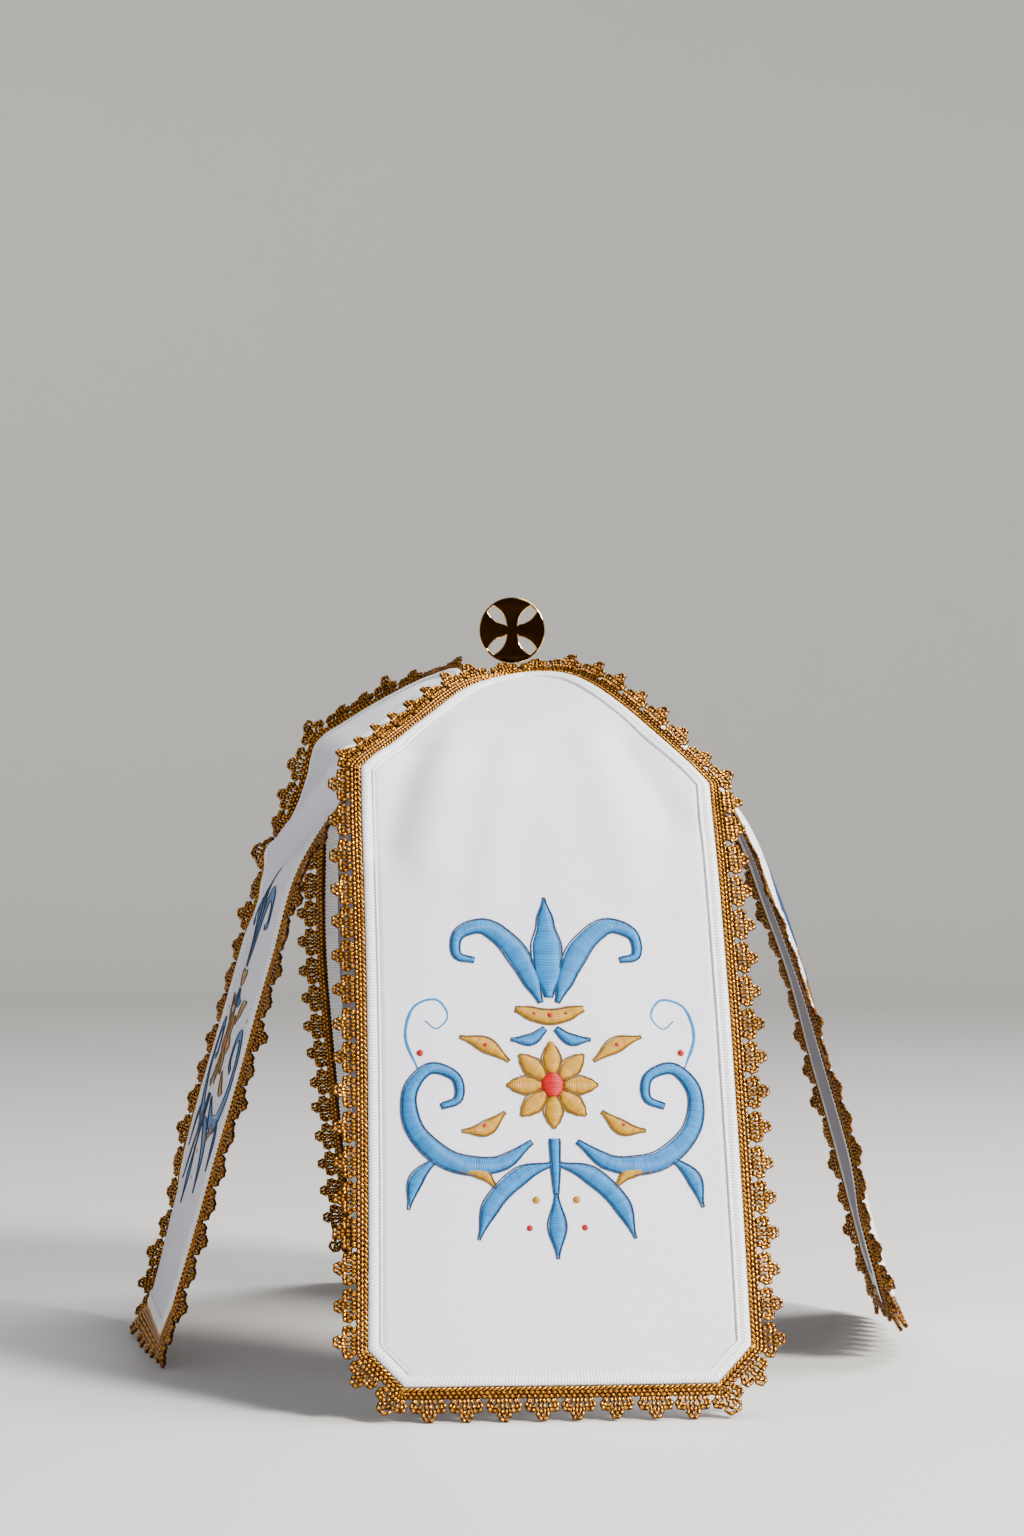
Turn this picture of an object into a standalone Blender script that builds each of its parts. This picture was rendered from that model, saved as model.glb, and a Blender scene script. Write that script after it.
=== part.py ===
"""Ciborium veil with its cross finial, in metres, +Z up, standing on its lace hems.

Four bordered panels hang from a square neck round a small finial. Each panel is cut flat, to the
pattern below, and then laid along its own profile, because the four do not hang alike.
The origin is on the floor, in the middle of the whole veil's outline.
"""

import math
from collections import namedtuple

import bmesh
import bpy
import numpy as np
from mathutils import Vector

MM = 0.001

# The flat pattern of one panel, in millimetres, from its neck edge down to its hem
NECK_HALF_WIDTH = 14.0
SHOULDER_HALF_WIDTH = 63.5
HEM_HALF_WIDTH = 65.0
SIDE_LENGTH = 214.5
CORNER_ACROSS = 12.0
CORNER_DOWN = 12.7

BORDER_WIDTH = 4.5
GAP = 0.3
CLOTH_THICKNESS = 1.4
BORDER_THICKNESS = 1.8
LACE_THICKNESS = 1.4
CLOTH_COLUMNS = 8
ROW_SPACING = 12.0
LOW_ROW_SPACING = 26.0
CLOSE_ROWS_BELOW_SHOULDER = 90.0
CORNER_CLEARANCE = 2.0

# One scallop of the lace: places along its pitch, as a share of it, and depths in millimetres
SCALLOP_PITCH = 12.8
LACE_DEPTH = 12.6
LOBE_DEPTH = 9.4
HEADING_DEPTH = 6.4
ScallopPoint = namedtuple("ScallopPoint", "along depth")
SCALLOP = (
    ScallopPoint(0.00, HEADING_DEPTH),
    ScallopPoint(0.20, LOBE_DEPTH),
    ScallopPoint(0.40, LACE_DEPTH),
    ScallopPoint(0.60, LACE_DEPTH),
    ScallopPoint(0.80, LOBE_DEPTH),
)
LACE_TURN_DEPTH = 6.5
HEM_TIP_SETTLING = 0.8
TIP_TOLERANCE = 0.5

# A panel's profile: radius from the finial's axis and height above the floor, its sideways shift,
# its slope from left to right, and how far its middle stands proud of its edges
Station = namedtuple("Station", "radius height shift slope bow")
# How the lace lies at the neck, halfway to the shoulder, at the shoulder and at three places below it:
# degrees that it turns inwards from the cloth's plane, and the share of its depth that reaches out
LaceLay = namedtuple("LaceLay", "turn reach")
Panel = namedtuple("Panel", "name facing stations shoulder_row left_lay right_lay neck_lay")

LAY_BELOW_SHOULDER = (26.0, 52.0, 130.0)
FLAT = LaceLay(0, 1.0)
TUCKED_LAY = (
    LaceLay(40, 0.42), LaceLay(40, 0.45), LaceLay(40, 0.55), FLAT, LaceLay(8, 1.0), LaceLay(14, 1.0),
)
FLARED_LAY = (
    LaceLay(-6, 0.9), LaceLay(-26, 1.0), LaceLay(-50, 1.0),
    LaceLay(-56, 1.0), LaceLay(-14, 1.0), LaceLay(-14, 1.0),
)
RIGHT_FRONT_LAY = (
    LaceLay(40, 0.42), LaceLay(44, 0.42), LaceLay(52, 0.42),
    LaceLay(-2, 1.0), LaceLay(-5, 1.0), LaceLay(-10, 1.0),
)
RIGHT_BACK_LAY = (FLAT, FLAT, LaceLay(8, 1.0), LaceLay(15, 1.0), LaceLay(16, 1.0), LaceLay(18, 1.0))
BACK_LAY = (LaceLay(24, 0.42), LaceLay(40, 0.45), LaceLay(40, 0.55), FLAT, FLAT, FLAT)
FRONT_LEFT_LAY = (LaceLay(-24, 1.0), LaceLay(-8, 1.0), LaceLay(1, 1.0), FLAT, FLAT, FLAT)
FRONT_RIGHT_LAY = (LaceLay(-5, 1.0), LaceLay(4, 1.0), LaceLay(12, 1.0), FLAT, FLAT, FLAT)

FRONT_STATIONS = (
    Station(20.0, 256.3, 1.1, 0.150, 0.0),
    Station(29.5, 252.9, 1.1, 0.110, 0.0),
    Station(39.0, 248.9, 1.1, 0.075, 0.0),
    Station(54.5, 239.9, 1.1, 0.035, 1.0),
    Station(70.5, 229.4, 1.1, -0.010, 2.0),
    Station(87.0, 217.4, 1.1, -0.045, 3.0),
    Station(94.5, 204.0, 1.1, -0.020, 3.0),
    Station(103.5, 184.3, 1.5, 0.0, 2.5),
    Station(120.0, 148.2, 2.0, 0.0, 2.0),
    Station(150.8, 82.0, 1.8, 0.0, 1.5),
    Station(183.4, 11.6, 0.8, 0.0, 1.0),
)
LEFT_STATIONS = (
    Station(20.0, 258.3, -1.3, -0.150, 0.0),
    Station(26.7, 254.9, -1.3, -0.110, 0.0),
    Station(33.4, 252.0, -1.3, -0.085, 0.0),
    Station(45.4, 245.0, -1.3, -0.070, 0.5),
    Station(58.1, 236.6, -1.3, -0.050, 1.0),
    Station(69.5, 227.6, -1.3, -0.040, 1.5),
    Station(73.0, 215.8, -1.3, -0.010, 1.5),
    Station(76.4, 206.4, -1.3, 0.0, 1.5),
    Station(81.0, 197.0, -1.3, 0.0, 2.0),
    Station(88.8, 182.8, -1.3, 0.0, 2.0),
    Station(99.0, 148.3, -1.3, 0.0, 1.5),
    Station(117.0, 85.8, -1.3, 0.0, 1.0),
    Station(138.0, 12.3, -1.3, 0.0, 0.5),
)
RIGHT_STATIONS = (
    Station(20.0, 258.0, 1.6, 0.120, 0.0),
    Station(30.0, 253.8, 1.6, 0.080, 0.0),
    Station(40.0, 247.4, 1.6, 0.035, 0.5),
    Station(50.0, 240.6, 1.6, 0.035, 1.0),
    Station(58.0, 234.4, 1.6, 0.050, 1.5),
    Station(64.5, 228.7, 1.6, 0.055, 2.0),
    Station(77.5, 216.4, 1.6, 0.030, 3.0),
    Station(84.3, 205.0, 1.6, 0.0, 4.0),
    Station(91.0, 191.5, 1.6, 0.0, 4.0),
    Station(101.4, 163.6, 1.6, 0.0, 3.5),
    Station(110.9, 136.7, 1.6, 0.0, 2.5),
    Station(121.0, 101.0, 1.6, -0.020, 1.5),
    Station(132.6, 60.0, 1.6, -0.045, 1.5),
    Station(142.5, 22.0, 1.6, -0.080, 2.5),
)
BACK_STATIONS = (
    Station(20.0, 255.4, 0.0, 0.0, 0.0),
    Station(30.0, 251.6, 0.5, 0.0, 0.0),
    Station(40.0, 247.0, 1.0, 0.0, 0.0),
    Station(52.0, 240.0, 2.0, 0.0, 0.5),
    Station(66.0, 230.8, 3.0, 0.0, 1.0),
    Station(79.5, 221.0, 4.0, 0.0, 2.0),
    Station(88.2, 204.0, 4.4, 0.0, 2.5),
    Station(95.8, 186.0, 4.5, 0.0, 2.0),
    Station(107.6, 155.0, 4.0, 0.0, 1.5),
    Station(133.0, 87.8, -2.5, 0.0, 1.0),
    Station(161.6, 12.0, -11.5, 0.0, 0.5),
)

PANELS = (
    Panel("front", -90.0, FRONT_STATIONS, 5, FRONT_LEFT_LAY, FRONT_RIGHT_LAY, LaceLay(-30, 0.6)),
    Panel("left", 183.6, LEFT_STATIONS, 5, FLARED_LAY, TUCKED_LAY, LaceLay(20, 0.35)),
    Panel("right", -7.1, RIGHT_STATIONS, 5, RIGHT_FRONT_LAY, RIGHT_BACK_LAY, LaceLay(20, 0.35)),
    Panel("back", 90.0, BACK_STATIONS, 5, BACK_LAY, BACK_LAY, LaceLay(0, 0.5)),
)

# The finial: a round plate pierced to a cross, on a turned stem that seats under the neck
DISC_RADIUS = 12.8
DISC_THICKNESS = 2.2
DISC_HEIGHT = 273.7
DISC_SEGMENTS = 48
PIERCING_INNER = (0.19, 0.16)
PIERCING_OUTER = (0.60, 0.755)
PIERCING_BULGE = 0.30
PIERCING_SEGMENTS = 8
STEM_TOP_RADIUS = 2.5
STEM_SEGMENTS = 24
SEAT_RADIUS = 24.0
SEAT_CREST_RADIUS = 21.0
SEAT_FLAT_RADIUS = 12.0
SEAT_TOP = 253.6
SEAT_CREST = 252.8
SEAT_RIM_TOP = 250.2
SEAT_RIM_BOTTOM = 248.6
SEAT_BOTTOM = 246.5


def make_material(name, colour, roughness, metallic):
    """A plain shader in this piece's colour."""
    material = bpy.data.materials.new(name)
    material.use_nodes = True
    shader = material.node_tree.nodes["Principled BSDF"]
    shader.inputs["Base Color"].default_value = (*colour, 1.0)
    shader.inputs["Roughness"].default_value = roughness
    shader.inputs["Metallic"].default_value = metallic
    return material


def add_object(name, data, collection, material):
    piece = bpy.data.objects.new(name, data)
    data.materials.append(material)
    collection.objects.link(piece)
    return piece


class Drape:
    """The surface that a panel's flat pattern is laid on."""

    def __init__(self, panel):
        self.panel = panel
        rows = np.array(panel.stations)
        steps = np.hypot(np.diff(rows[:, 0]), np.diff(rows[:, 1]))
        self.knots = np.concatenate([[0.0], np.cumsum(steps)])
        self.rows = rows
        slopes = np.diff(rows, axis=0) / steps[:, None]
        weights = steps[:, None]
        self.tangents = np.vstack([
            slopes[:1],
            (slopes[1:] * weights[:-1] + slopes[:-1] * weights[1:]) / (weights[1:] + weights[:-1]),
            slopes[-1:],
        ])
        facing = math.radians(panel.facing)
        self.outward = Vector((math.cos(facing), math.sin(facing), 0.0))
        self.sideways = Vector((-math.sin(facing), math.cos(facing), 0.0))
        self.roof_length = float(self.knots[panel.shoulder_row])
        self.length = self.roof_length + SIDE_LENGTH + CORNER_DOWN

    def station_at(self, along):
        """The profile's values at a distance from the neck edge, smooth between its rows."""
        if along <= 0.0 or along >= self.knots[-1]:
            end = 0 if along <= 0.0 else -1
            values = self.rows[end].copy()
            values[:2] += (along - self.knots[end]) * self.tangents[end][:2]
            return values
        row = int(np.searchsorted(self.knots, along, side="right")) - 1
        step = self.knots[row + 1] - self.knots[row]
        part = (along - self.knots[row]) / step
        near, far = self.rows[row], self.rows[row + 1]
        leaving, arriving = self.tangents[row] * step, self.tangents[row + 1] * step
        return (
            near * (1 + 2 * part) * (1 - part) ** 2
            + leaving * part * (1 - part) ** 2
            + far * part**2 * (3 - 2 * part)
            + arriving * part**2 * (part - 1)
        )

    def half_width(self, along):
        """Half the pattern's width at a distance from the neck edge."""
        places = (0.0, self.roof_length, self.length)
        widths = (NECK_HALF_WIDTH, SHOULDER_HALF_WIDTH, HEM_HALF_WIDTH)
        return float(np.interp(along, places, widths))

    def point(self, across, along):
        radius, height, shift, slope, bow = self.station_at(along)
        share = across / self.half_width(along)
        radius += bow * (1.0 - share * share)
        side = self.sideways * (across + shift)
        return self.outward * radius + side + Vector((0.0, 0.0, height + slope * across))

    def frame(self, across, along):
        """The surface's directions across and along, and its outward normal."""
        reach = 0.5
        right = self.point(across + reach, along) - self.point(across - reach, along)
        down = self.point(across, along + reach) - self.point(across, along - reach)
        return right.normalized(), down.normalized(), down.cross(right).normalized()


def pattern_corners(drape, offset):
    """The pattern's corners, moved outwards by the offset, from the neck's left end clockwise."""
    side_end = drape.length - CORNER_DOWN
    right = [
        Vector((NECK_HALF_WIDTH, 0.0)),
        Vector((SHOULDER_HALF_WIDTH, drape.roof_length)),
        Vector((HEM_HALF_WIDTH, side_end)),
        Vector((HEM_HALF_WIDTH - CORNER_ACROSS, drape.length)),
    ]
    left = [Vector((-corner.x, corner.y)) for corner in reversed(right)]
    corners = right + left
    moved = []
    for index, corner in enumerate(corners):
        before = (corner - corners[index - 1]).normalized()
        after = (corners[(index + 1) % len(corners)] - corner).normalized()
        out_before = Vector((before.y, -before.x))
        out_after = Vector((after.y, -after.x))
        mitre = out_before + out_after
        moved.append(corner + mitre * (offset / mitre.dot(out_before)))
    return moved


def pattern_rows(drape):
    """Distances from the neck at which every piece of the panel has points, so that they fit."""
    rows = []
    for near, far in zip(drape.knots[:-1], drape.knots[1:]):
        is_close = far < drape.roof_length + CLOSE_ROWS_BELOW_SHOULDER
        spacing = ROW_SPACING if is_close else LOW_ROW_SPACING
        pieces = max(1, round((far - near) / spacing))
        rows.extend(near + (far - near) * piece / pieces for piece in range(pieces))
    return [row for row in rows if 1.0 < row < drape.length - 1.0]


def fitted_loop(drape, offset):
    """The offset outline with a point wherever a row crosses it, and evenly along neck and hem."""
    corners = pattern_corners(drape, offset)
    rows = pattern_rows(drape)
    loop = []
    for index, start in enumerate(corners):
        end = corners[(index + 1) % len(corners)]
        loop.append(start)
        if abs(end.y - start.y) < 1.0:
            shares = [step / CLOTH_COLUMNS for step in range(1, CLOTH_COLUMNS)]
        else:
            shares = sorted((row - start.y) / (end.y - start.y) for row in rows)
        clearance = CORNER_CLEARANCE / (end - start).length
        loop.extend(start.lerp(end, share) for share in shares if clearance < share < 1.0 - clearance)
    return loop


def scalloped_loop(drape):
    """The lace's outer edge: scallops at an even pitch, fanned out round the pattern's corners."""
    corners = pattern_corners(drape, 0.0)
    stretches = []
    for index, start in enumerate(corners):
        end = corners[(index + 1) % len(corners)]
        after = corners[(index + 2) % len(corners)]
        heading = (end - start).normalized()
        turning = (after - end).normalized()
        out, next_out = Vector((heading.y, -heading.x)), Vector((turning.y, -turning.x))
        stretches.append(((end - start).length, start, end, out, out))
        stretches.append((LACE_TURN_DEPTH * out.angle(next_out), end, end, out, next_out))
    total = sum(stretch[0] for stretch in stretches)
    count = round(total / SCALLOP_PITCH)
    marks = [
        ((scallop + point.along) * total / count, point.depth)
        for scallop in range(count)
        for point in SCALLOP
    ]
    loop, passed, index = [], 0.0, 0
    for mark, depth in marks:
        while mark > passed + stretches[index][0]:
            passed += stretches[index][0]
            index += 1
        length, start, end, out, next_out = stretches[index]
        share = (mark - passed) / length
        loop.append(start.lerp(end, share) + out.lerp(next_out, share).normalized() * depth)
    return loop


def nearest_on_pattern(corners, spot):
    """The nearest point of the pattern's outline, and the distance from it."""
    best = None
    for index, start in enumerate(corners):
        along = corners[(index + 1) % len(corners)] - start
        share = min(1.0, max(0.0, (spot - start).dot(along) / along.length_squared))
        foot = start + along * share
        distance = (spot - foot).length
        if best is None or distance < best[1]:
            best = (foot, distance)
    return best


def lace_lay(drape, foot):
    """How the lace lies at a point of the pattern's outline: blended along neck and hem."""
    panel = drape.panel
    sides = (panel.left_lay, panel.right_lay)
    if foot.y < 0.01:
        share = abs(foot.x) / NECK_HALF_WIDTH
        start, end = panel.neck_lay, sides[foot.x > 0.0][0]
        turn = start.turn + (end.turn - start.turn) * share**3
        reach = start.reach + (end.reach - start.reach) * share**3
        return turn, reach
    shoulder = drape.roof_length
    places = (0.0, shoulder / 2, shoulder, *(shoulder + below for below in LAY_BELOW_SHOULDER))
    turns = [np.interp(foot.y, places, [lay.turn for lay in side]) for side in sides]
    reaches = [np.interp(foot.y, places, [lay.reach for lay in side]) for side in sides]
    blended = HEM_HALF_WIDTH - CORNER_ACROSS if foot.y > drape.length - 0.01 else 0.01
    turn = float(np.interp(foot.x, (-blended, blended), turns))
    reach = float(np.interp(foot.x, (-blended, blended), reaches))
    return turn, reach


def lay_cloth(drape, spot, depth):
    _, _, normal = drape.frame(spot.x, spot.y)
    return drape.point(spot.x, spot.y) - normal * depth


def lay_lace(drape, corners, spot, depth):
    foot, distance = nearest_on_pattern(corners, spot)
    out = (spot - foot).normalized()
    right, _, normal = drape.frame(foot.x, foot.y)
    plane_out = (right * out.x + right.cross(normal) * out.y).normalized()
    turn, reach = lace_lay(drape, foot)
    angle = math.radians(turn)
    lace_out = plane_out * math.cos(angle) - normal * math.sin(angle)
    lifted = min(angle, 0.0)
    inwards = plane_out * math.sin(-lifted) - normal * math.cos(lifted)
    root = drape.point(foot.x, foot.y) + plane_out * GAP
    point = root + lace_out * ((distance - GAP) * reach) + inwards * depth
    is_hem_tip = foot.y > drape.length - 0.01 and distance > LACE_DEPTH - TIP_TOLERANCE
    if is_hem_tip and point.z < HEM_TIP_SETTLING:
        point.z = 0.0
    return point


def finish_sheet(sheet, name, lay, collection, material):
    """Thickens flat faces, lays every point on the drape, and adds the piece."""
    bmesh.ops.recalc_face_normals(sheet, faces=sheet.faces[:])
    for vertex in sheet.verts:
        depth = -vertex.co.z
        vertex.co = lay(Vector((vertex.co.x, vertex.co.y)), depth) * MM
    bmesh.ops.triangulate(sheet, faces=sheet.faces[:])
    bmesh.ops.recalc_face_normals(sheet, faces=sheet.faces[:])
    data = bpy.data.meshes.new(name)
    sheet.to_mesh(data)
    sheet.free()
    data.shade_smooth()
    data.set_sharp_from_angle(angle=math.radians(40.0))
    return add_object(name, data, collection, material)


def thicken(sheet, thickness):
    for face in sheet.faces:
        face.normal_update()
        if face.normal.z < 0.0:
            face.normal_flip()
    bmesh.ops.solidify(sheet, geom=sheet.faces[:], thickness=thickness)


def make_cloth(drape, collection, material):
    """The panel's cloth inside its border: a grid stretched to the pattern, then draped."""
    corners = pattern_corners(drape, -BORDER_WIDTH - GAP)
    outline = sorted({(corner.y, abs(corner.x)) for corner in corners[:4]})
    edges = [place for place, _ in outline]
    rows = [row for row in pattern_rows(drape) if edges[0] < row < edges[-1]]
    rows = [row for row in rows if all(abs(row - edge) > CORNER_CLEARANCE for edge in edges)]
    rows = sorted(rows + edges)
    sheet = bmesh.new()
    bmesh.ops.create_grid(sheet, x_segments=CLOTH_COLUMNS, y_segments=len(rows) - 1, size=1.0)
    for vertex in sheet.verts:
        row = rows[round((vertex.co.y + 1.0) / 2.0 * (len(rows) - 1))]
        half = float(np.interp(row, *zip(*outline)))
        vertex.co = Vector((vertex.co.x * half, row, 0.0))
    thicken(sheet, CLOTH_THICKNESS)
    return finish_sheet(
        sheet,
        f"panel_{drape.panel.name}",
        lambda spot, depth: lay_cloth(drape, spot, depth),
        collection,
        material,
    )


def strip_between(outer, inner, thickness):
    """A flat strip between two closed outlines."""
    sheet = bmesh.new()
    edges = []
    for loop in (outer, inner):
        ring = [sheet.verts.new((spot.x, spot.y, 0.0)) for spot in loop]
        edges.extend(sheet.edges.new((ring[index - 1], ring[index])) for index in range(len(ring)))
    bmesh.ops.triangle_fill(sheet, edges=edges, use_beauty=True, use_dissolve=False, normal=(0.0, 0.0, 1.0))
    thicken(sheet, thickness)
    return sheet


def make_border(drape, collection, material):
    """The satin binding round the panel's edge."""
    sheet = strip_between(fitted_loop(drape, 0.0), fitted_loop(drape, -BORDER_WIDTH), BORDER_THICKNESS)
    return finish_sheet(
        sheet,
        f"binding_{drape.panel.name}",
        lambda spot, depth: lay_cloth(drape, spot, depth),
        collection,
        material,
    )


def make_lace(drape, collection, material):
    """The scalloped metal lace, whose hem the veil stands on."""
    corners = pattern_corners(drape, 0.0)
    sheet = strip_between(scalloped_loop(drape), fitted_loop(drape, GAP), LACE_THICKNESS)
    return finish_sheet(
        sheet,
        f"lace_{drape.panel.name}",
        lambda spot, depth: lay_lace(drape, corners, spot, depth),
        collection,
        material,
    )


def arc_points(start, end, bulge, segments):
    """Points of a shallow arc between two points, standing off their chord by the bulge."""
    chord = end - start
    side = Vector((-chord.y, chord.x)).normalized()
    return [
        start.lerp(end, step / segments) + side * (bulge * 4.0 * step / segments * (1.0 - step / segments))
        for step in range(segments)
    ]


def cross_outlines():
    """The disc's rim, and the four pointed openings that leave a cross between them."""
    rim = [
        Vector((math.cos(angle), math.sin(angle))) * DISC_RADIUS
        for angle in np.linspace(0.0, math.tau, DISC_SEGMENTS, endpoint=False)
    ]
    outlines = [rim]
    inner = Vector(PIERCING_INNER)
    outer = Vector(PIERCING_OUTER)
    bulge = PIERCING_BULGE * (outer - inner).length
    lens = arc_points(inner, outer, -bulge, PIERCING_SEGMENTS)
    lens += arc_points(outer, inner, -bulge, PIERCING_SEGMENTS)
    for across, up in ((1, 1), (-1, 1), (-1, -1), (1, -1)):
        outlines.append([Vector((spot.x * across, spot.y * up)) * DISC_RADIUS for spot in lens])
    return outlines


def make_cross(collection, material):
    curve = bpy.data.curves.new("finial_cross", "CURVE")
    curve.dimensions = "2D"
    curve.fill_mode = "BOTH"
    curve.extrude = DISC_THICKNESS / 2 * MM
    for outline in cross_outlines():
        spline = curve.splines.new("POLY")
        spline.points.add(len(outline) - 1)
        spline.use_cyclic_u = True
        for control, spot in zip(spline.points, outline):
            control.co = (spot.x * MM, spot.y * MM, 0.0, 1.0)
    cross = add_object("finial_cross", curve, collection, material)
    cross.location = (0.0, 0.0, DISC_HEIGHT * MM)
    cross.rotation_euler = (math.radians(90.0), 0.0, math.radians(-4.0))
    return cross


def make_stem(collection, material):
    """A turned stem with the flat round seat that carries the neck."""
    top = DISC_HEIGHT - DISC_RADIUS - GAP
    profile = (
        (0.0, top),
        (STEM_TOP_RADIUS * 0.7, top),
        (STEM_TOP_RADIUS, top - 0.9),
        (STEM_TOP_RADIUS * 0.8, top - 2.4),
        (STEM_TOP_RADIUS, SEAT_TOP + 2.0),
        (STEM_TOP_RADIUS * 2.0, SEAT_TOP),
        (SEAT_CREST_RADIUS, SEAT_CREST),
        (SEAT_RADIUS, SEAT_RIM_TOP),
        (SEAT_RADIUS, SEAT_RIM_BOTTOM),
        (SEAT_FLAT_RADIUS, SEAT_BOTTOM),
        (0.0, SEAT_BOTTOM),
    )
    data = bpy.data.meshes.new("finial_stem")
    data.from_pydata(
        [(radius * MM, 0.0, height * MM) for radius, height in profile],
        [(index, index + 1) for index in range(len(profile) - 1)],
        [],
    )
    stem = add_object("finial_stem", data, collection, material)
    turn = stem.modifiers.new("turn", "SCREW")
    turn.steps = turn.render_steps = STEM_SEGMENTS
    turn.use_merge_vertices = True
    turn.merge_threshold = 0.00001
    return stem


def stand_on_origin(collection):
    """Hangs every piece on one empty, placed so that the whole outline is centred on the origin."""
    base = bpy.data.objects.new("veil_base", None)
    collection.objects.link(base)
    bpy.context.view_layer.update()
    pieces = [piece for piece in collection.objects if piece is not base]
    corners = [piece.matrix_world @ Vector(corner) for piece in pieces for corner in piece.bound_box]
    middle = [(min(values) + max(values)) / 2 for values in zip(*corners)]
    for piece in pieces:
        piece.parent = base
    base.location = (-middle[0], -middle[1], 0.0)


def main():
    for leftover in list(bpy.data.objects):
        bpy.data.objects.remove(leftover, do_unlink=True)
    veil = bpy.data.collections.new("ciborium_veil")
    bpy.context.scene.collection.children.link(veil)

    cloth = make_material("white_cloth", (0.86, 0.86, 0.88), 0.85, 0.0)
    satin = make_material("white_satin", (0.92, 0.92, 0.93), 0.45, 0.0)
    gold_lace = make_material("gold_lace", (0.58, 0.31, 0.06), 0.40, 0.8)
    gilt = make_material("gilt_brass", (0.80, 0.52, 0.18), 0.18, 1.0)

    for panel in PANELS:
        drape = Drape(panel)
        make_cloth(drape, veil, cloth)
        make_border(drape, veil, satin)
        make_lace(drape, veil, gold_lace)
    make_cross(veil, gilt)
    make_stem(veil, gilt)
    stand_on_origin(veil)


main()
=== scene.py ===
"""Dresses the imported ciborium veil: cloth, satin borders, metal lace, embroidery and finial.

Every piece is laid on the same hang as the solids have. A panel's flat pattern, in millimetres, is
carried onto that panel's own profile, and the frame gives the finial's axis that all are placed from.
"""

from __future__ import annotations

import logging
import math
from dataclasses import dataclass, field
from enum import Enum
from typing import Any, Iterable, NamedTuple, Sequence

import bmesh
import bpy
import numpy as np
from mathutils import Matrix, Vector


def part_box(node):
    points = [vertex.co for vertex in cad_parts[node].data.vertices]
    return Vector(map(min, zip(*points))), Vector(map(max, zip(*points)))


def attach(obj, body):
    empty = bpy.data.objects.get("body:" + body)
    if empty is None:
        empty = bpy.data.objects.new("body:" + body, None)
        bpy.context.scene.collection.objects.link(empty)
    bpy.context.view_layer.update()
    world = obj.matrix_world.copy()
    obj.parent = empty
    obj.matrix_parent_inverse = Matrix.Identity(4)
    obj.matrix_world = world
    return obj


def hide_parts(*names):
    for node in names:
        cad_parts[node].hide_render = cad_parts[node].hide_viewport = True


LOG = logging.getLogger("veil")
MM = 0.001
BODY = "root"

# The flat pattern of one panel, in millimetres, from its neck edge down to its hem
NECK_HALF_WIDTH = 14.0
NECK_ROUNDING = (13.9, 18.0)
SHOULDER_HALF_WIDTH = 63.5
HEM_HALF_WIDTH = 65.0
SIDE_LENGTH = 214.5
CORNER_ACROSS = 12.0
CORNER_DOWN = 12.7
BORDER_WIDTH = 4.5
CLOTH_THICKNESS = 1.4
LACE_GAP = 0.3
LACE_TURN_DEPTH = 6.5
FLOOR_CLEARANCE = 0.1
NEAR = 0.01


class Station(NamedTuple):
    """A row of a panel's profile: radius and height, sideways shift, slope across, and bulge."""

    radius: float
    height: float
    shift: float
    slope: float
    bow: float


class LaceLay(NamedTuple):
    """How the lace lies: degrees that it turns inwards, and the share of its depth that reaches out."""

    turn: float
    reach: float


class Crease(NamedTuple):
    """A soft ridge, or trough where its height is negative, between two places on the cloth.

    Places are millimetres across from the middle and down from the shoulder line.
    """

    across: float
    down: float
    end_across: float
    end_down: float
    width: float
    height: float


class Thread(Enum):
    """The embroidery threads."""

    BLUE = "blue"
    GOLD = "gold"
    RED = "red"


class Stroke(NamedTuple):
    """One satin-stitched shape: its middle line, half-widths along it, padding and thread."""

    line: tuple[tuple[float, float], ...]
    half_widths: tuple[float, ...]
    padding: float
    thread: Thread
    is_outlined: bool
    is_mirrored: bool


# The same hang as the solids have
LAY_BELOW_SHOULDER = (26.0, 52.0, 130.0, 205.0)
FLAT = LaceLay(0, 1.0)
TUCKED_LAY = (
    LaceLay(40, 0.42), LaceLay(40, 0.45), LaceLay(40, 0.55),
    FLAT, LaceLay(8, 1.0), LaceLay(14, 1.0), LaceLay(14, 1.0),
)
FLARED_LAY = (
    LaceLay(-6, 0.7), LaceLay(-26, 1.0), LaceLay(-50, 1.0),
    LaceLay(-56, 1.0), LaceLay(-16, 1.0), LaceLay(-18, 1.0), LaceLay(-36, 1.0),
)
RIGHT_FRONT_LAY = (
    LaceLay(40, 0.42), LaceLay(44, 0.42), LaceLay(52, 0.42),
    LaceLay(-2, 1.0), LaceLay(-5, 1.0), LaceLay(-10, 1.0), LaceLay(-22, 1.0),
)
RIGHT_BACK_LAY = (
    FLAT, FLAT, LaceLay(8, 1.0), LaceLay(15, 1.0), LaceLay(16, 1.0), LaceLay(18, 1.0), LaceLay(18, 1.0),
)
BACK_LAY = (LaceLay(24, 0.42), LaceLay(40, 0.45), LaceLay(40, 0.55), FLAT, FLAT, FLAT, FLAT)
FRONT_LEFT_LAY = (LaceLay(-30, 1.0), LaceLay(-12, 1.0), LaceLay(-3, 1.0), FLAT, FLAT, FLAT, FLAT)
FRONT_RIGHT_LAY = (LaceLay(-14, 1.0), LaceLay(-4, 1.0), LaceLay(7, 1.0), FLAT, FLAT, FLAT, FLAT)

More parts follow.
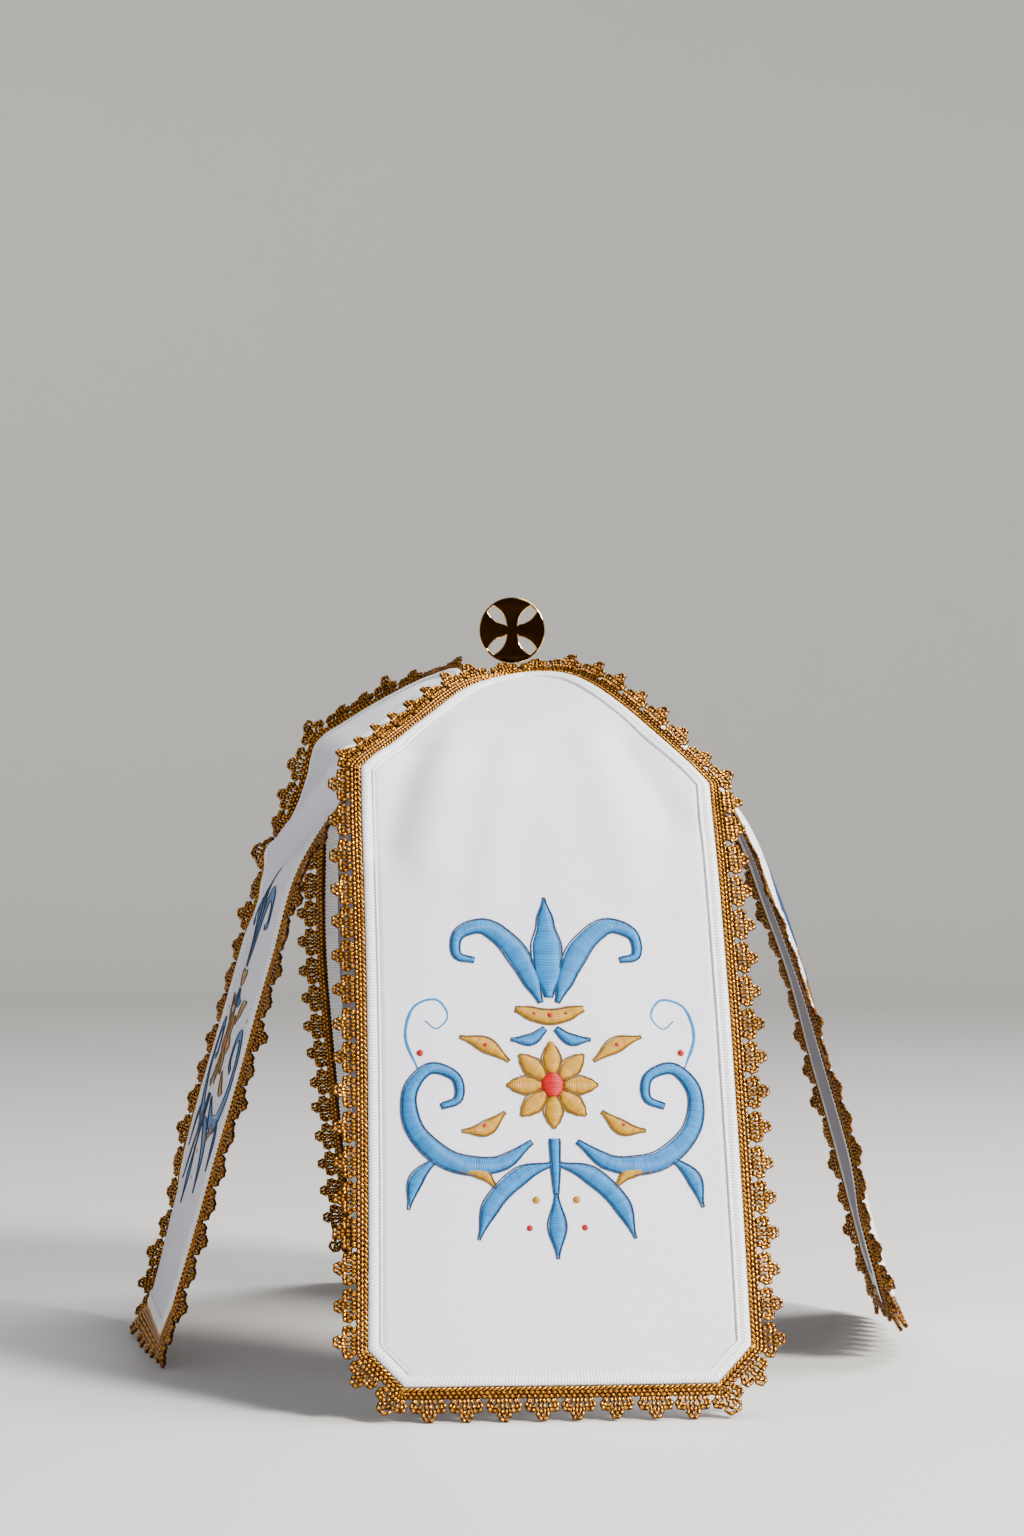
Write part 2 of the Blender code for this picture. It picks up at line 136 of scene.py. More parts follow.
FRONT_STATIONS = (
    Station(20.0, 256.3, 1.1, 0.150, 0.0),
    Station(29.5, 252.9, 1.1, 0.110, 0.0),
    Station(39.0, 248.9, 1.1, 0.075, 0.0),
    Station(54.5, 239.9, 1.1, 0.035, 1.0),
    Station(70.5, 229.4, 1.1, -0.010, 2.0),
    Station(87.0, 217.4, 1.1, -0.045, 3.0),
    Station(94.5, 204.0, 1.1, -0.020, 3.0),
    Station(103.5, 184.3, 1.5, 0.0, 2.5),
    Station(120.0, 148.2, 2.0, 0.0, 2.0),
    Station(150.8, 82.0, 1.8, 0.0, 1.5),
    Station(183.4, 11.6, 0.8, 0.0, 1.0),
)
LEFT_STATIONS = (
    Station(20.0, 258.3, -1.3, -0.150, 0.0),
    Station(26.7, 254.9, -1.3, -0.110, 0.0),
    Station(33.4, 252.0, -1.3, -0.085, 0.0),
    Station(45.4, 245.0, -1.3, -0.070, 0.5),
    Station(58.1, 236.6, -1.3, -0.050, 1.0),
    Station(69.5, 227.6, -1.3, -0.040, 1.5),
    Station(73.0, 215.8, -1.3, -0.010, 1.5),
    Station(76.4, 206.4, -1.3, 0.0, 1.5),
    Station(81.0, 197.0, -1.3, 0.0, 2.0),
    Station(88.8, 182.8, -1.3, 0.0, 2.0),
    Station(99.0, 148.3, -1.3, 0.0, 1.5),
    Station(117.0, 85.8, -1.3, 0.0, 1.0),
    Station(138.0, 12.3, -1.3, 0.0, 0.5),
)
RIGHT_STATIONS = (
    Station(20.0, 258.0, 1.6, 0.120, 0.0),
    Station(30.0, 253.8, 1.6, 0.080, 0.0),
    Station(40.0, 247.4, 1.6, 0.035, 0.5),
    Station(50.0, 240.6, 1.6, 0.035, 1.0),
    Station(58.0, 234.4, 1.6, 0.050, 1.5),
    Station(64.5, 228.7, 1.6, 0.055, 2.0),
    Station(77.5, 216.4, 1.6, 0.030, 3.0),
    Station(84.3, 205.0, 1.6, 0.0, 4.0),
    Station(91.0, 191.5, 1.6, 0.0, 4.0),
    Station(101.4, 163.6, 1.6, 0.0, 3.5),
    Station(110.9, 136.7, 1.6, 0.0, 2.5),
    Station(121.0, 101.0, 1.6, -0.020, 1.5),
    Station(132.6, 60.0, 1.6, -0.045, 1.5),
    Station(142.5, 22.0, 1.6, -0.080, 2.5),
)
BACK_STATIONS = (
    Station(20.0, 255.4, 0.0, 0.0, 0.0),
    Station(30.0, 251.6, 0.5, 0.0, 0.0),
    Station(40.0, 247.0, 1.0, 0.0, 0.0),
    Station(52.0, 240.0, 2.0, 0.0, 0.5),
    Station(66.0, 230.8, 3.0, 0.0, 1.0),
    Station(79.5, 221.0, 4.0, 0.0, 2.0),
    Station(88.2, 204.0, 4.4, 0.0, 2.5),
    Station(95.8, 186.0, 4.5, 0.0, 2.0),
    Station(107.6, 155.0, 4.0, 0.0, 1.5),
    Station(133.0, 87.8, -2.5, 0.0, 1.0),
    Station(161.6, 12.0, -11.5, 0.0, 0.5),
)
SHOULDER_ROW = 5

# The soft folds that the cloth keeps from how it is held at its shoulders
FRONT_CREASES = (
    Crease(-43, -12, -56, 28, 7.0, -2.8),
    Crease(-27, -30, -40, 34, 10.0, 2.4),
    Crease(-10, -14, -20, 46, 7.0, 1.1),
    Crease(34, -20, 48, 16, 8.0, -3.0),
    Crease(22, -20, 32, 44, 9.0, 1.4),
    Crease(-44, 70, -36, 150, 16.0, 1.0),
    Crease(38, 60, 46, 160, 15.0, -1.0),
)
LEFT_CREASES = (
    Crease(66, 0, -66, 46, 4.5, 3.0),
    Crease(60, 20, -56, 66, 9.0, -2.8),
    Crease(-70, 196, -52, 246, 17.0, -4.2),
    Crease(10, 90, -8, 190, 20.0, 1.0),
)
RIGHT_CREASES = (
    Crease(-58, 14, 40, 44, 9.0, -1.2),
    Crease(-70, 196, -52, 246, 17.0, -3.6),
    Crease(12, 80, -10, 190, 20.0, 1.2),
)
BACK_CREASES = (
    Crease(-56, 0, -22, 46, 13.0, -2.2),
    Crease(54, 0, 20, 38, 13.0, -2.0),
    Crease(6, 50, -12, 180, 22.0, 1.0),
)


class Panel(NamedTuple):
    """One hanging panel: where it faces, its profile, how its lace lies, and its creases."""

    name: str
    facing: float
    stations: tuple[Station, ...]
    left_lay: tuple[LaceLay, ...]
    right_lay: tuple[LaceLay, ...]
    neck_lay: LaceLay
    creases: tuple[Crease, ...]


PANELS = (
    Panel("front", -90.0, FRONT_STATIONS, FRONT_LEFT_LAY, FRONT_RIGHT_LAY, LaceLay(-30, 0.6), FRONT_CREASES),
    Panel("left", 183.6, LEFT_STATIONS, FLARED_LAY, TUCKED_LAY, LaceLay(20, 0.35), LEFT_CREASES),
    Panel("right", -7.1, RIGHT_STATIONS, RIGHT_FRONT_LAY, RIGHT_BACK_LAY, LaceLay(20, 0.35), RIGHT_CREASES),
    Panel("back", 90.0, BACK_STATIONS, BACK_LAY, BACK_LAY, LaceLay(0, 0.5), BACK_CREASES),
)

# The embroidery's own design, in millimetres across and down from EMBROIDERY_TOP below the shoulder:
# a lily over a rosette, with scrolls and leaves
EMBROIDERY_TOP = 48.0
ROSETTE_CENTRE = (0.0, 72.0)
ROSETTE_PETALS = 8
# The share of its padding that each panel's stitching has: it lies flatter at the sides
PADDING_SHARE = {"front": 1.0, "left": 0.4, "right": 0.3, "back": 1.0}
STROKES = (
    Stroke(((0, 1), (0, 20), (0, 39)), (0.3, 3.0, 5.4, 5.2, 1.4), 1.0, Thread.BLUE, True, False),
    Stroke(
        ((3, 41), (7, 30), (13, 19), (22, 12), (31, 15), (32, 23), (26, 25)),
        (0.8, 3.2, 4.0, 3.4, 2.4, 1.6, 0.9),
        1.0, Thread.BLUE, True, True,
    ),
    Stroke(((-12, 43.5), (0, 46.5), (12, 43.5)), (1.0, 2.5, 2.8, 2.5, 1.0), 1.1, Thread.GOLD, True, False),
    Stroke(((2, 51), (7, 55), (14, 55)), (1.0, 2.0, 0.4), 0.8, Thread.BLUE, True, True),
    Stroke(
        ((8, 93), (20, 101), (36, 100), (48, 89), (50, 75), (43, 66), (34, 69), (33, 77), (39, 80)),
        (0.8, 2.6, 3.4, 3.5, 3.0, 2.4, 1.9, 1.5, 1.0),
        1.0, Thread.BLUE, True, True,
    ),
    Stroke(
        ((47, 66), (51, 54), (48, 43), (40, 40), (36, 46), (40, 51), (44, 48)),
        (0.6, 0.8, 0.8, 0.7, 0.7, 0.6, 0.6),
        0.5, Thread.BLUE, False, True,
    ),
    Stroke(((41, 99), (48, 106), (51, 117)), (0.7, 2.4, 0.3), 0.8, Thread.BLUE, True, True),
    Stroke(((0, 92), (0, 112)), (1.8, 1.5, 0.8), 0.9, Thread.BLUE, True, False),
    Stroke(((1, 101), (12, 105), (22, 115), (27, 128)), (0.7, 3.2, 3.0, 0.3), 1.0, Thread.BLUE, True, True),
    Stroke(((0, 112), (0, 123), (0, 135)), (0.5, 3.2, 0.3), 0.9, Thread.BLUE, True, False),
    Stroke(((15, 63), (23, 57), (32, 54)), (0.5, 2.8, 0.4), 0.9, Thread.GOLD, True, True),
    Stroke(((17, 82), (24, 88), (32, 89)), (0.5, 2.6, 0.4), 0.9, Thread.GOLD, True, True),
    Stroke(((21, 109), (26, 104), (34, 103)), (0.5, 2.2, 0.4), 0.8, Thread.GOLD, True, True),
)


class Dot(NamedTuple):
    """A small round padded spot of the embroidery."""

    across: float
    down: float
    radius: float
    padding: float
    thread: Thread
    is_mirrored: bool


DOTS = (
    Dot(0.0, 46.2, 1.3, 2.0, Thread.RED, False),
    Dot(5.6, 45.5, 1.1, 1.9, Thread.RED, True),
    Dot(ROSETTE_CENTRE[0], ROSETTE_CENTRE[1], 4.6, 1.5, Thread.RED, False),
    Dot(23.2, 57.2, 1.2, 1.6, Thread.RED, True),
    Dot(24.2, 87.2, 1.1, 1.6, Thread.RED, True),
    Dot(46.0, 60.0, 1.3, 1.1, Thread.RED, True),
    Dot(0.0, 57.0, 1.6, 1.1, Thread.GOLD, False),
    Dot(7.0, 114.0, 1.4, 1.1, Thread.GOLD, True),
    Dot(9.5, 124.0, 1.2, 1.0, Thread.RED, True),
)


def srgb(code: str) -> tuple[float, float, float, float]:
    """Turns an sRGB hex value to the linear colour that shaders take.

    Args:
        code: six hex digits after a hash sign.

    Returns:
        The linear red, green, blue and an alpha of 1.
    """
    values = [int(code[start : start + 2], 16) / 255 for start in (1, 3, 5)]
    linear = [value / 12.92 if value <= 0.04045 else ((value + 0.055) / 1.055) ** 2.4 for value in values]
    return (linear[0], linear[1], linear[2], 1.0)


def unit(vectors: np.ndarray) -> np.ndarray:
    """Scales each row to a length of 1."""
    return vectors / np.maximum(np.linalg.norm(vectors, axis=-1, keepdims=True), 1e-12)


def distances(path: np.ndarray) -> np.ndarray:
    """How far along an open path each of its points is."""
    return np.concatenate([[0.0], np.cumsum(np.linalg.norm(np.diff(path, axis=0), axis=1))])


def resampled(path: np.ndarray, count: int) -> np.ndarray:
    """The same flat path with points evenly apart.

    Args:
        path: the path, as flat points.
        count: how many points it gets.

    Returns:
        The new points.
    """
    along = distances(path)
    marks = np.linspace(0.0, along[-1], count)
    return np.stack([np.interp(marks, along, path[:, axis]) for axis in range(2)], axis=1)


def smooth_curve(line: Sequence[tuple[float, float]]) -> np.ndarray:
    """A smooth curve through the points, with many points of its own.

    Args:
        line: the points that it goes through.

    Returns:
        The curve's points.
    """
    knots = np.array(line, float)
    padded = np.vstack([2 * knots[0] - knots[1], knots, 2 * knots[-1] - knots[-2]])
    parts = np.linspace(0.0, 1.0, 17)[:-1, None]
    pieces = []
    for index in range(len(knots) - 1):
        before, start, end, after = padded[index : index + 4]
        bend = 2 * start + (end - before) * parts
        bend = bend + (2 * before - 5 * start + 4 * end - after) * parts**2
        pieces.append((bend + (3 * start - before - 3 * end + after) * parts**3) / 2)
    return np.vstack([*pieces, knots[-1:]])


def moved_outline(corners: np.ndarray, offset: float) -> np.ndarray:
    """A closed flat outline moved to its right-hand side, its corners mitred.

    Args:
        corners: the outline's corners.
        offset: how far it moves.

    Returns:
        The moved corners.
    """
    before = unit(corners - np.roll(corners, 1, axis=0))
    out_before = np.stack([before[:, 1], -before[:, 0]], axis=1)
    mitre = out_before + np.roll(out_before, -1, axis=0)
    return corners + mitre * (offset / (mitre * out_before).sum(axis=1, keepdims=True))


class Drape:
    """The hanging surface that a panel's flat pattern is laid on."""

    FINITE_STEP = 0.5
    RIPPLE_HEIGHT = 0.22
    # For each ripple, its period across and down
    RIPPLES = ((9.0, 31.0), (-37.0, 14.0))

    def __init__(self, panel: Panel, axis: Vector) -> None:
        """Prepares the profile.

        Args:
            panel: the panel to hang.
            axis: a point on the finial's axis, in metres.
        """
        self.panel = panel
        self.axis = np.array((axis.x, axis.y, 0.0)) / MM
        self.rows = np.array(panel.stations)
        steps = np.hypot(np.diff(self.rows[:, 0]), np.diff(self.rows[:, 1]))[:, None]
        self.knots = np.concatenate([[0.0], np.cumsum(steps)])
        slopes = np.diff(self.rows, axis=0) / steps
        blended = (slopes[1:] * steps[:-1] + slopes[:-1] * steps[1:]) / (steps[1:] + steps[:-1])
        self.tangents = np.vstack([slopes[:1], blended, slopes[-1:]])
        facing = math.radians(panel.facing)
        self.outward = np.array((math.cos(facing), math.sin(facing), 0.0))
        self.sideways = np.array((-math.sin(facing), math.cos(facing), 0.0))
        self.roof_length = float(self.knots[SHOULDER_ROW])
        self.length = self.roof_length + SIDE_LENGTH + CORNER_DOWN

    def profile(self, along: np.ndarray) -> np.ndarray:
        """The profile's values, smooth between its rows.

        Args:
            along: distances from the neck edge, in millimetres.

        Returns:
            For each distance, the five values of a station.
        """
        inside = np.clip(along, 0.0, self.knots[-1])
        row = np.searchsorted(self.knots, inside, side="right") - 1
        row = np.clip(row, 0, len(self.knots) - 2)
        step = (self.knots[row + 1] - self.knots[row])[:, None]
        part = (inside - self.knots[row])[:, None] / step
        values = self.rows[row] * (1 + 2 * part) * (1 - part) ** 2
        values += self.tangents[row] * step * part * (1 - part) ** 2
        values += self.rows[row + 1] * part**2 * (3 - 2 * part)
        values += self.tangents[row + 1] * step * part**2 * (part - 1)
        end = np.where(along > 0.0, len(self.rows) - 1, 0)
        values[:, :2] += (along - inside)[:, None] * self.tangents[end][:, :2]
        return values

    def smooth_point(self, spots: np.ndarray) -> np.ndarray:
        """Points of the hanging surface without its creases.

        Args:
            spots: places on the pattern.

        Returns:
            The points, in millimetres.
        """
        across, along = spots[:, 0], spots[:, 1]
        values = self.profile(along)
        widths = (NECK_HALF_WIDTH, SHOULDER_HALF_WIDTH, HEM_HALF_WIDTH)
        share = across / np.interp(along, (0.0, self.roof_length, self.length), widths)
        radius = values[:, 0] + values[:, 4] * (1.0 - share**2)
        points = self.axis + self.outward * radius[:, None]
        points = points + self.sideways * (across + values[:, 2])[:, None]
        points[:, 2] += values[:, 1] + values[:, 3] * across
        return points

    def directions(self, spots: np.ndarray, is_creased: bool) -> tuple[np.ndarray, np.ndarray, np.ndarray]:
        """The surface's directions across and down, and its outward normal.

        Args:
            spots: places on the pattern.
            is_creased: whether the creases count.

        Returns:
            Three arrays of unit vectors.
        """
        find = self.point if is_creased else self.smooth_point
        step = np.array((self.FINITE_STEP, 0.0))
        right = unit(find(spots + step) - find(spots - step))
        step = np.array((0.0, self.FINITE_STEP))
        down = unit(find(spots + step) - find(spots - step))
        return right, down, unit(np.cross(down, right))

    def relief(self, spots: np.ndarray) -> np.ndarray:
        """How far ripples and creases lift the cloth.

        Args:
            spots: places on the pattern.

        Returns:
            The lift at each place, in millimetres.
        """
        across, down = spots[:, 0], spots[:, 1] - self.roof_length
        lift = np.full(len(spots), self.RIPPLE_HEIGHT)
        for period_across, period_down in self.RIPPLES:
            lift = lift * np.sin(across / period_across + down / period_down)
        for crease in self.panel.creases:
            start = np.array((crease.across, crease.down))
            line = np.array((crease.end_across, crease.end_down)) - start
            offset = np.stack([across, down], axis=1) - start
            share = offset @ line / (line @ line)
            nearest = np.clip(share, 0.0, 1.0)[:, None] * line
            distance = np.linalg.norm(offset - nearest, axis=1)
            lift = lift + crease.height * np.exp(-((distance / crease.width) ** 2))
        return lift

    def point(self, spots: np.ndarray) -> np.ndarray:
        """Points of the hanging surface, creases included, in millimetres."""
        _, _, normal = self.directions(spots, False)
        return self.smooth_point(spots) + normal * self.relief(spots)[:, None]

    def lay(self, spots: np.ndarray, lift: np.ndarray | float) -> np.ndarray:
        """Points that stand a little off the hanging surface.

        Args:
            spots: places on the pattern, in millimetres across and along.
            lift: how far each stands outside the surface.

        Returns:
            The points, in millimetres.
        """
        _, _, normal = self.directions(spots, True)
        return self.point(spots) + normal * np.broadcast_to(lift, len(spots))[:, None]


class Outline:
    """The pattern's edge as a closed polygon, with its neck corners rounded."""

    ROUNDING_STEPS = 7

    def __init__(self, drape: Drape) -> None:
        """Works out the edge of one panel.

        Args:
            drape: the panel's hang, which gives its lengths.
        """
        neck = np.array((NECK_HALF_WIDTH, 0.0))
        shoulder = np.array((SHOULDER_HALF_WIDTH, drape.roof_length))
        before = neck - np.array((NECK_ROUNDING[0], 0.0))
        after = neck + unit(shoulder - neck) * NECK_ROUNDING[1]
        shares = np.linspace(0.0, 1.0, self.ROUNDING_STEPS + 1)[:, None]
        bend = before * (1 - shares) ** 2 + neck * 2 * shares * (1 - shares) + after * shares**2
        side_end = drape.length - CORNER_DOWN
        low = np.array((
            shoulder,
            (HEM_HALF_WIDTH, side_end),
            (HEM_HALF_WIDTH - CORNER_ACROSS, drape.length),
        ))
        right = np.vstack([bend, low])
        self.corners = np.vstack([right, right[::-1] * (-1.0, 1.0)])

    def moved(self, offset: float) -> np.ndarray:
        """The edge moved outwards by the offset, its corners mitred."""
        return moved_outline(self.corners, offset)

    def places(self, step: float) -> tuple[np.ndarray, np.ndarray]:
        """Where to sample the edge evenly.

        Args:
            step: how far apart the places are, in millimetres.

        Returns:
            For each place, the side of the polygon and the share along it.
        """
        lengths = np.linalg.norm(np.roll(self.corners, -1, axis=0) - self.corners, axis=1)
        sides, shares = [], []
        for side, length in enumerate(lengths):
            count = max(1, round(length / step))
            sides.append(np.full(count, side))
            shares.append(np.arange(count) / count)
        return np.concatenate(sides), np.concatenate(shares)

    @staticmethod
    def sample(corners: np.ndarray, sides: np.ndarray, shares: np.ndarray) -> np.ndarray:
        """Points on a polygon's sides at the given shares."""
        ends = np.roll(corners, -1, axis=0)
        return corners[sides] + (ends[sides] - corners[sides]) * shares[:, None]


class LaceEdge:
    """Carries places along and out from a panel's edge onto its hanging lace."""

    def __init__(self, drape: Drape, outline: Outline) -> None:
        """Splits the edge into straight stretches, and fans round its corners.

        Args:
            drape: the panel's hang.
            outline: the panel's edge.
        """
        self.drape = drape
        corners = outline.corners
        ends = np.roll(corners, -1, axis=0)
        heading = unit(ends - corners)
        out = np.stack([heading[:, 1], -heading[:, 0]], axis=1)
        next_out = np.roll(out, -1, axis=0)
        turning = np.arccos(np.clip((out * next_out).sum(axis=1), -1.0, 1.0))
        lengths = np.stack([np.linalg.norm(ends - corners, axis=1), LACE_TURN_DEPTH * turning], axis=1)
        self.marks = np.concatenate([[0.0], np.cumsum(lengths.ravel())])
        self.first = np.stack([corners, ends], axis=1).reshape(-1, 2)
        self.last = np.repeat(ends, 2, axis=0)
        self.out = np.repeat(out, 2, axis=0)
        self.next_out = np.stack([out, next_out], axis=1).reshape(-1, 2)
        self.total = float(self.marks[-1])

    def lies(self, foot: np.ndarray) -> tuple[np.ndarray, np.ndarray]:
        """How the lace lies at places on the edge.

        Args:
            foot: the places.

        Returns:
            The lace's turn at each in degrees, and its reach.
        """
        panel, shoulder = self.drape.panel, self.drape.roof_length
        places = (0.0, shoulder / 2, shoulder, *(shoulder + below for below in LAY_BELOW_SHOULDER))
        found = []
        for part in ("turn", "reach"):
            left = np.interp(foot[:, 1], places, [getattr(lay, part) for lay in panel.left_lay])
            right = np.interp(foot[:, 1], places, [getattr(lay, part) for lay in panel.right_lay])
            is_hem = foot[:, 1] > self.drape.length - NEAR
            blended = np.where(is_hem, HEM_HALF_WIDTH - CORNER_ACROSS, NEAR)
            side = left + (right - left) * np.clip(0.5 + 0.5 * foot[:, 0] / blended, 0.0, 1.0)
            share = np.clip(np.linalg.norm(foot, axis=1) / NECK_HALF_WIDTH, 0.0, 1.0) ** 3
            middle = getattr(panel.neck_lay, part)
            found.append(middle + (side - middle) * share)
        return found[0], found[1]

    def lay(self, along: np.ndarray, depth: np.ndarray, lift: np.ndarray) -> tuple[np.ndarray, np.ndarray]:
        """Places the lace.

        Args:
            along: millimetres round the edge.
            depth: millimetres out from the edge, in the lace.
            lift: millimetres above the lace's outer face.

        Returns:
            The points in millimetres, and the lace's outward normals there.
        """
        wrapped = np.mod(along, self.total)
        index = np.clip(np.searchsorted(self.marks, wrapped, side="right") - 1, 0, len(self.first) - 1)
        share = (wrapped - self.marks[index]) / (self.marks[index + 1] - self.marks[index])
        share = share[:, None]
        foot = self.first[index] + (self.last[index] - self.first[index]) * share
        out = unit(self.out[index] + (self.next_out[index] - self.out[index]) * share)
        right, _, normal = self.drape.directions(foot, True)
        plane_out = unit(right * out[:, :1] + np.cross(right, normal) * out[:, 1:])
        turn, reach = self.lies(foot)
        angle = np.radians(turn)[:, None]
        lace_out = plane_out * np.cos(angle) - normal * np.sin(angle)
        skin = normal * np.cos(angle) + plane_out * np.sin(angle)
        raised = np.where(angle < 0.0, skin, normal)
        points = self.drape.point(foot) + plane_out * LACE_GAP
        points = points + lace_out * ((depth - LACE_GAP) * reach)[:, None] + raised * lift[:, None]
        return points, skin


@dataclass
class Sheaf:
    """Vertices and faces gathered for one mesh.

    Each vertex has a place on its own cloth or thread, in millimetres, and a tone from 0 to 1: on the lace
    the tone is painted light and shade, and on the cloth's reverse it marks where thread ends show.
    """

    PAINTED_SIDE_SHADE = 0.05
    points: list[np.ndarray] = field(default_factory=list)
    places: list[np.ndarray] = field(default_factory=list)
    tones: list[np.ndarray] = field(default_factory=list)
    faces: list[tuple[int, ...]] = field(default_factory=list)
    finishes: list[int] = field(default_factory=list)
    count: int = 0

    def add(
        self, points: np.ndarray, places: np.ndarray, tones: np.ndarray, faces: np.ndarray, finish: int
    ) -> None:
        """Adds a patch of faces.

        Args:
            points: its vertices, in millimetres.
            places: their places on the cloth or thread.
            tones: their tones.
            faces: rows of vertex numbers, counted from 0 in this patch.
            finish: the number of the material that they take.
        """
        self.points.append(points)
        self.places.append(places)
        self.tones.append(tones)
        self.faces.extend(map(tuple, (faces + self.count).tolist()))
        self.finishes.extend([finish] * len(faces))
        self.count += len(points)

    def sweep(
        self, sections: np.ndarray, along: np.ndarray, tones: np.ndarray, is_loop: bool, finish: int = 0
    ) -> None:
        """Adds a closed body swept through rings of points.

        Args:
            sections: rings of points, in millimetres, as (rings, points, 3).
            along: each ring's distance along the body.
            tones: each ring's tone, or each point's.
            is_loop: whether the last ring joins the first; otherwise both ends get a cap.
            finish: the number of the material.
        """
        rings, sides = sections.shape[:2]
        count = rings if is_loop else rings - 1
        ring = np.arange(count)[:, None] * sides
        after = (np.arange(1, count + 1) % rings)[:, None] * sides
        here = np.arange(sides)[None, :]
        there = np.roll(here, -1, axis=1)
        faces = np.stack([ring + here, ring + there, after + there, after + here], axis=2).reshape(-1, 4)
        places = np.stack(np.broadcast_arrays(along[:, None], np.arange(sides)[None, :] / sides), axis=2)
        shades = np.broadcast_to(tones if tones.ndim == 2 else tones[:, None], (rings, sides))
        start = self.count
        self.add(sections.reshape(-1, 3), places.reshape(-1, 2), shades.reshape(-1), faces, finish)
        if not is_loop:
            last = start + (rings - 1) * sides
            self.faces.append(tuple(range(start + sides - 1, start - 1, -1)))
            self.faces.append(tuple(range(last, last + sides)))
            self.finishes.extend([finish, finish])

    def cord(
        self, path: np.ndarray, normals: np.ndarray, radii: np.ndarray, sides: int, is_loop: bool,
        tones: np.ndarray, finish: int = 0,
    ) -> None:
        """Adds a thin round cord along a path.

        Args:
            path: its middle line, in millimetres.
            normals: a direction across it at each point.
            radii: its radius at each point.
            sides: how many sides it has.
            is_loop: whether it is closed.
            tones: its tone at each point, which fades towards its sides as a painted shade.
            finish: the number of the material.
        """
        if is_loop:
            tangents = unit(np.roll(path, -1, axis=0) - np.roll(path, 1, axis=0))
        else:
            tangents = unit(np.gradient(path, axis=0))
        beside = unit(np.cross(tangents, normals))
        above = np.cross(beside, tangents)
        angles = np.arange(sides) / sides * math.tau
        turned = angles[None, :, None]
        around = above[:, None] * np.cos(turned) + beside[:, None] * np.sin(turned)
        sections = path[:, None] + around * radii[:, None, None]
        # Painted shade: the tone falls on the cord's sides and stays full on its outer and inner faces.
        facing = np.cos(angles)[None, :] ** 2
        shades = tones[:, None] * (self.PAINTED_SIDE_SHADE + (1.0 - self.PAINTED_SIDE_SHADE) * facing)
        self.sweep(sections, distances(path), shades, is_loop, finish)

    def build(self, name: str, materials: Sequence[bpy.types.Material], slot: str) -> bpy.types.Object:
        """Makes the object, which rides on the frame.

        Args:
            name: the piece's name.
            materials: its materials, in the order of their numbers.
            slot: not used.

        Returns:
            The new object.
        """
        mesh = bpy.data.meshes.new(name)
        points = np.concatenate(self.points) * MM
        points[:, 2] = np.maximum(points[:, 2], FLOOR_CLEARANCE * MM)
        mesh.from_pydata(points.tolist(), [], self.faces)
        mesh.polygons.foreach_set("material_index", self.finishes)
        mesh.polygons.foreach_set("use_smooth", [True] * len(self.faces))
        corners = np.empty(len(mesh.loops), np.int32)
        mesh.loops.foreach_get("vertex_index", corners)
        layer = mesh.uv_layers.new(name="place")
        layer.data.foreach_set("uv", np.concatenate(self.places)[corners].astype(np.float32).ravel())
        tone = mesh.attributes.new("tone", "FLOAT", "POINT")
        tone.data.foreach_set("value", np.concatenate(self.tones).astype(np.float32))
        for material in materials:
            mesh.materials.append(material)
        mesh.update()
        return settle(mesh, name)


def settle(mesh: bpy.types.Mesh, name: str) -> bpy.types.Object:
    """Turns a mesh's faces outwards, and makes it a piece that rides on the frame.

    Args:
        mesh: the finished mesh.
        name: the piece's name.

    Returns:
        The new object.
    """
    work = bmesh.new()
    work.from_mesh(mesh)
    bmesh.ops.recalc_face_normals(work, faces=work.faces[:])
    work.to_mesh(mesh)
    work.free()
    piece = bpy.data.objects.new(name, mesh)
    bpy.context.scene.collection.objects.link(piece)
    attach(piece, BODY)
    LOG.info("%s: %d faces", name, len(mesh.polygons))
    return piece


def add_node(
    tree: bpy.types.NodeTree, kind: str, inputs: dict[str | int, Any] | None = None, **settings: Any
) -> bpy.types.Node:
    """Adds a shader node with its settings, values and links.

    Args:
        tree: the node tree.
        kind: the node's type name.
        inputs: for each input, a value or the output that feeds it.
        **settings: the node's own settings.

    Returns:
        The new node.
    """
    node = tree.nodes.new(kind)
    for key, value in settings.items():
        setattr(node, key, value)
    for key, value in (inputs or {}).items():
        if isinstance(value, bpy.types.NodeSocket):
            tree.links.new(value, node.inputs[key])
        else:
            node.inputs[key].default_value = value
    return node


def band_scale(period: float) -> float:
    """The scale at which a wave texture's bands are this many millimetres apart."""
    return math.tau / (20.0 * period)


def start_material(
    name: str,
) -> tuple[bpy.types.Material, bpy.types.NodeTree, bpy.types.Node, bpy.types.NodeSocket]:
    """Makes a material and the nodes that all finishes share.

    Args:
        name: the material's name.

    Returns:
        The material, its tree, its shader, and the place on the cloth in millimetres.
    """
    material = bpy.data.materials.new(name)
    material.use_nodes = True
    tree = material.node_tree
    place = add_node(tree, "ShaderNodeUVMap", uv_map="place")
    return material, tree, tree.nodes["Principled BSDF"], place.outputs["UV"]


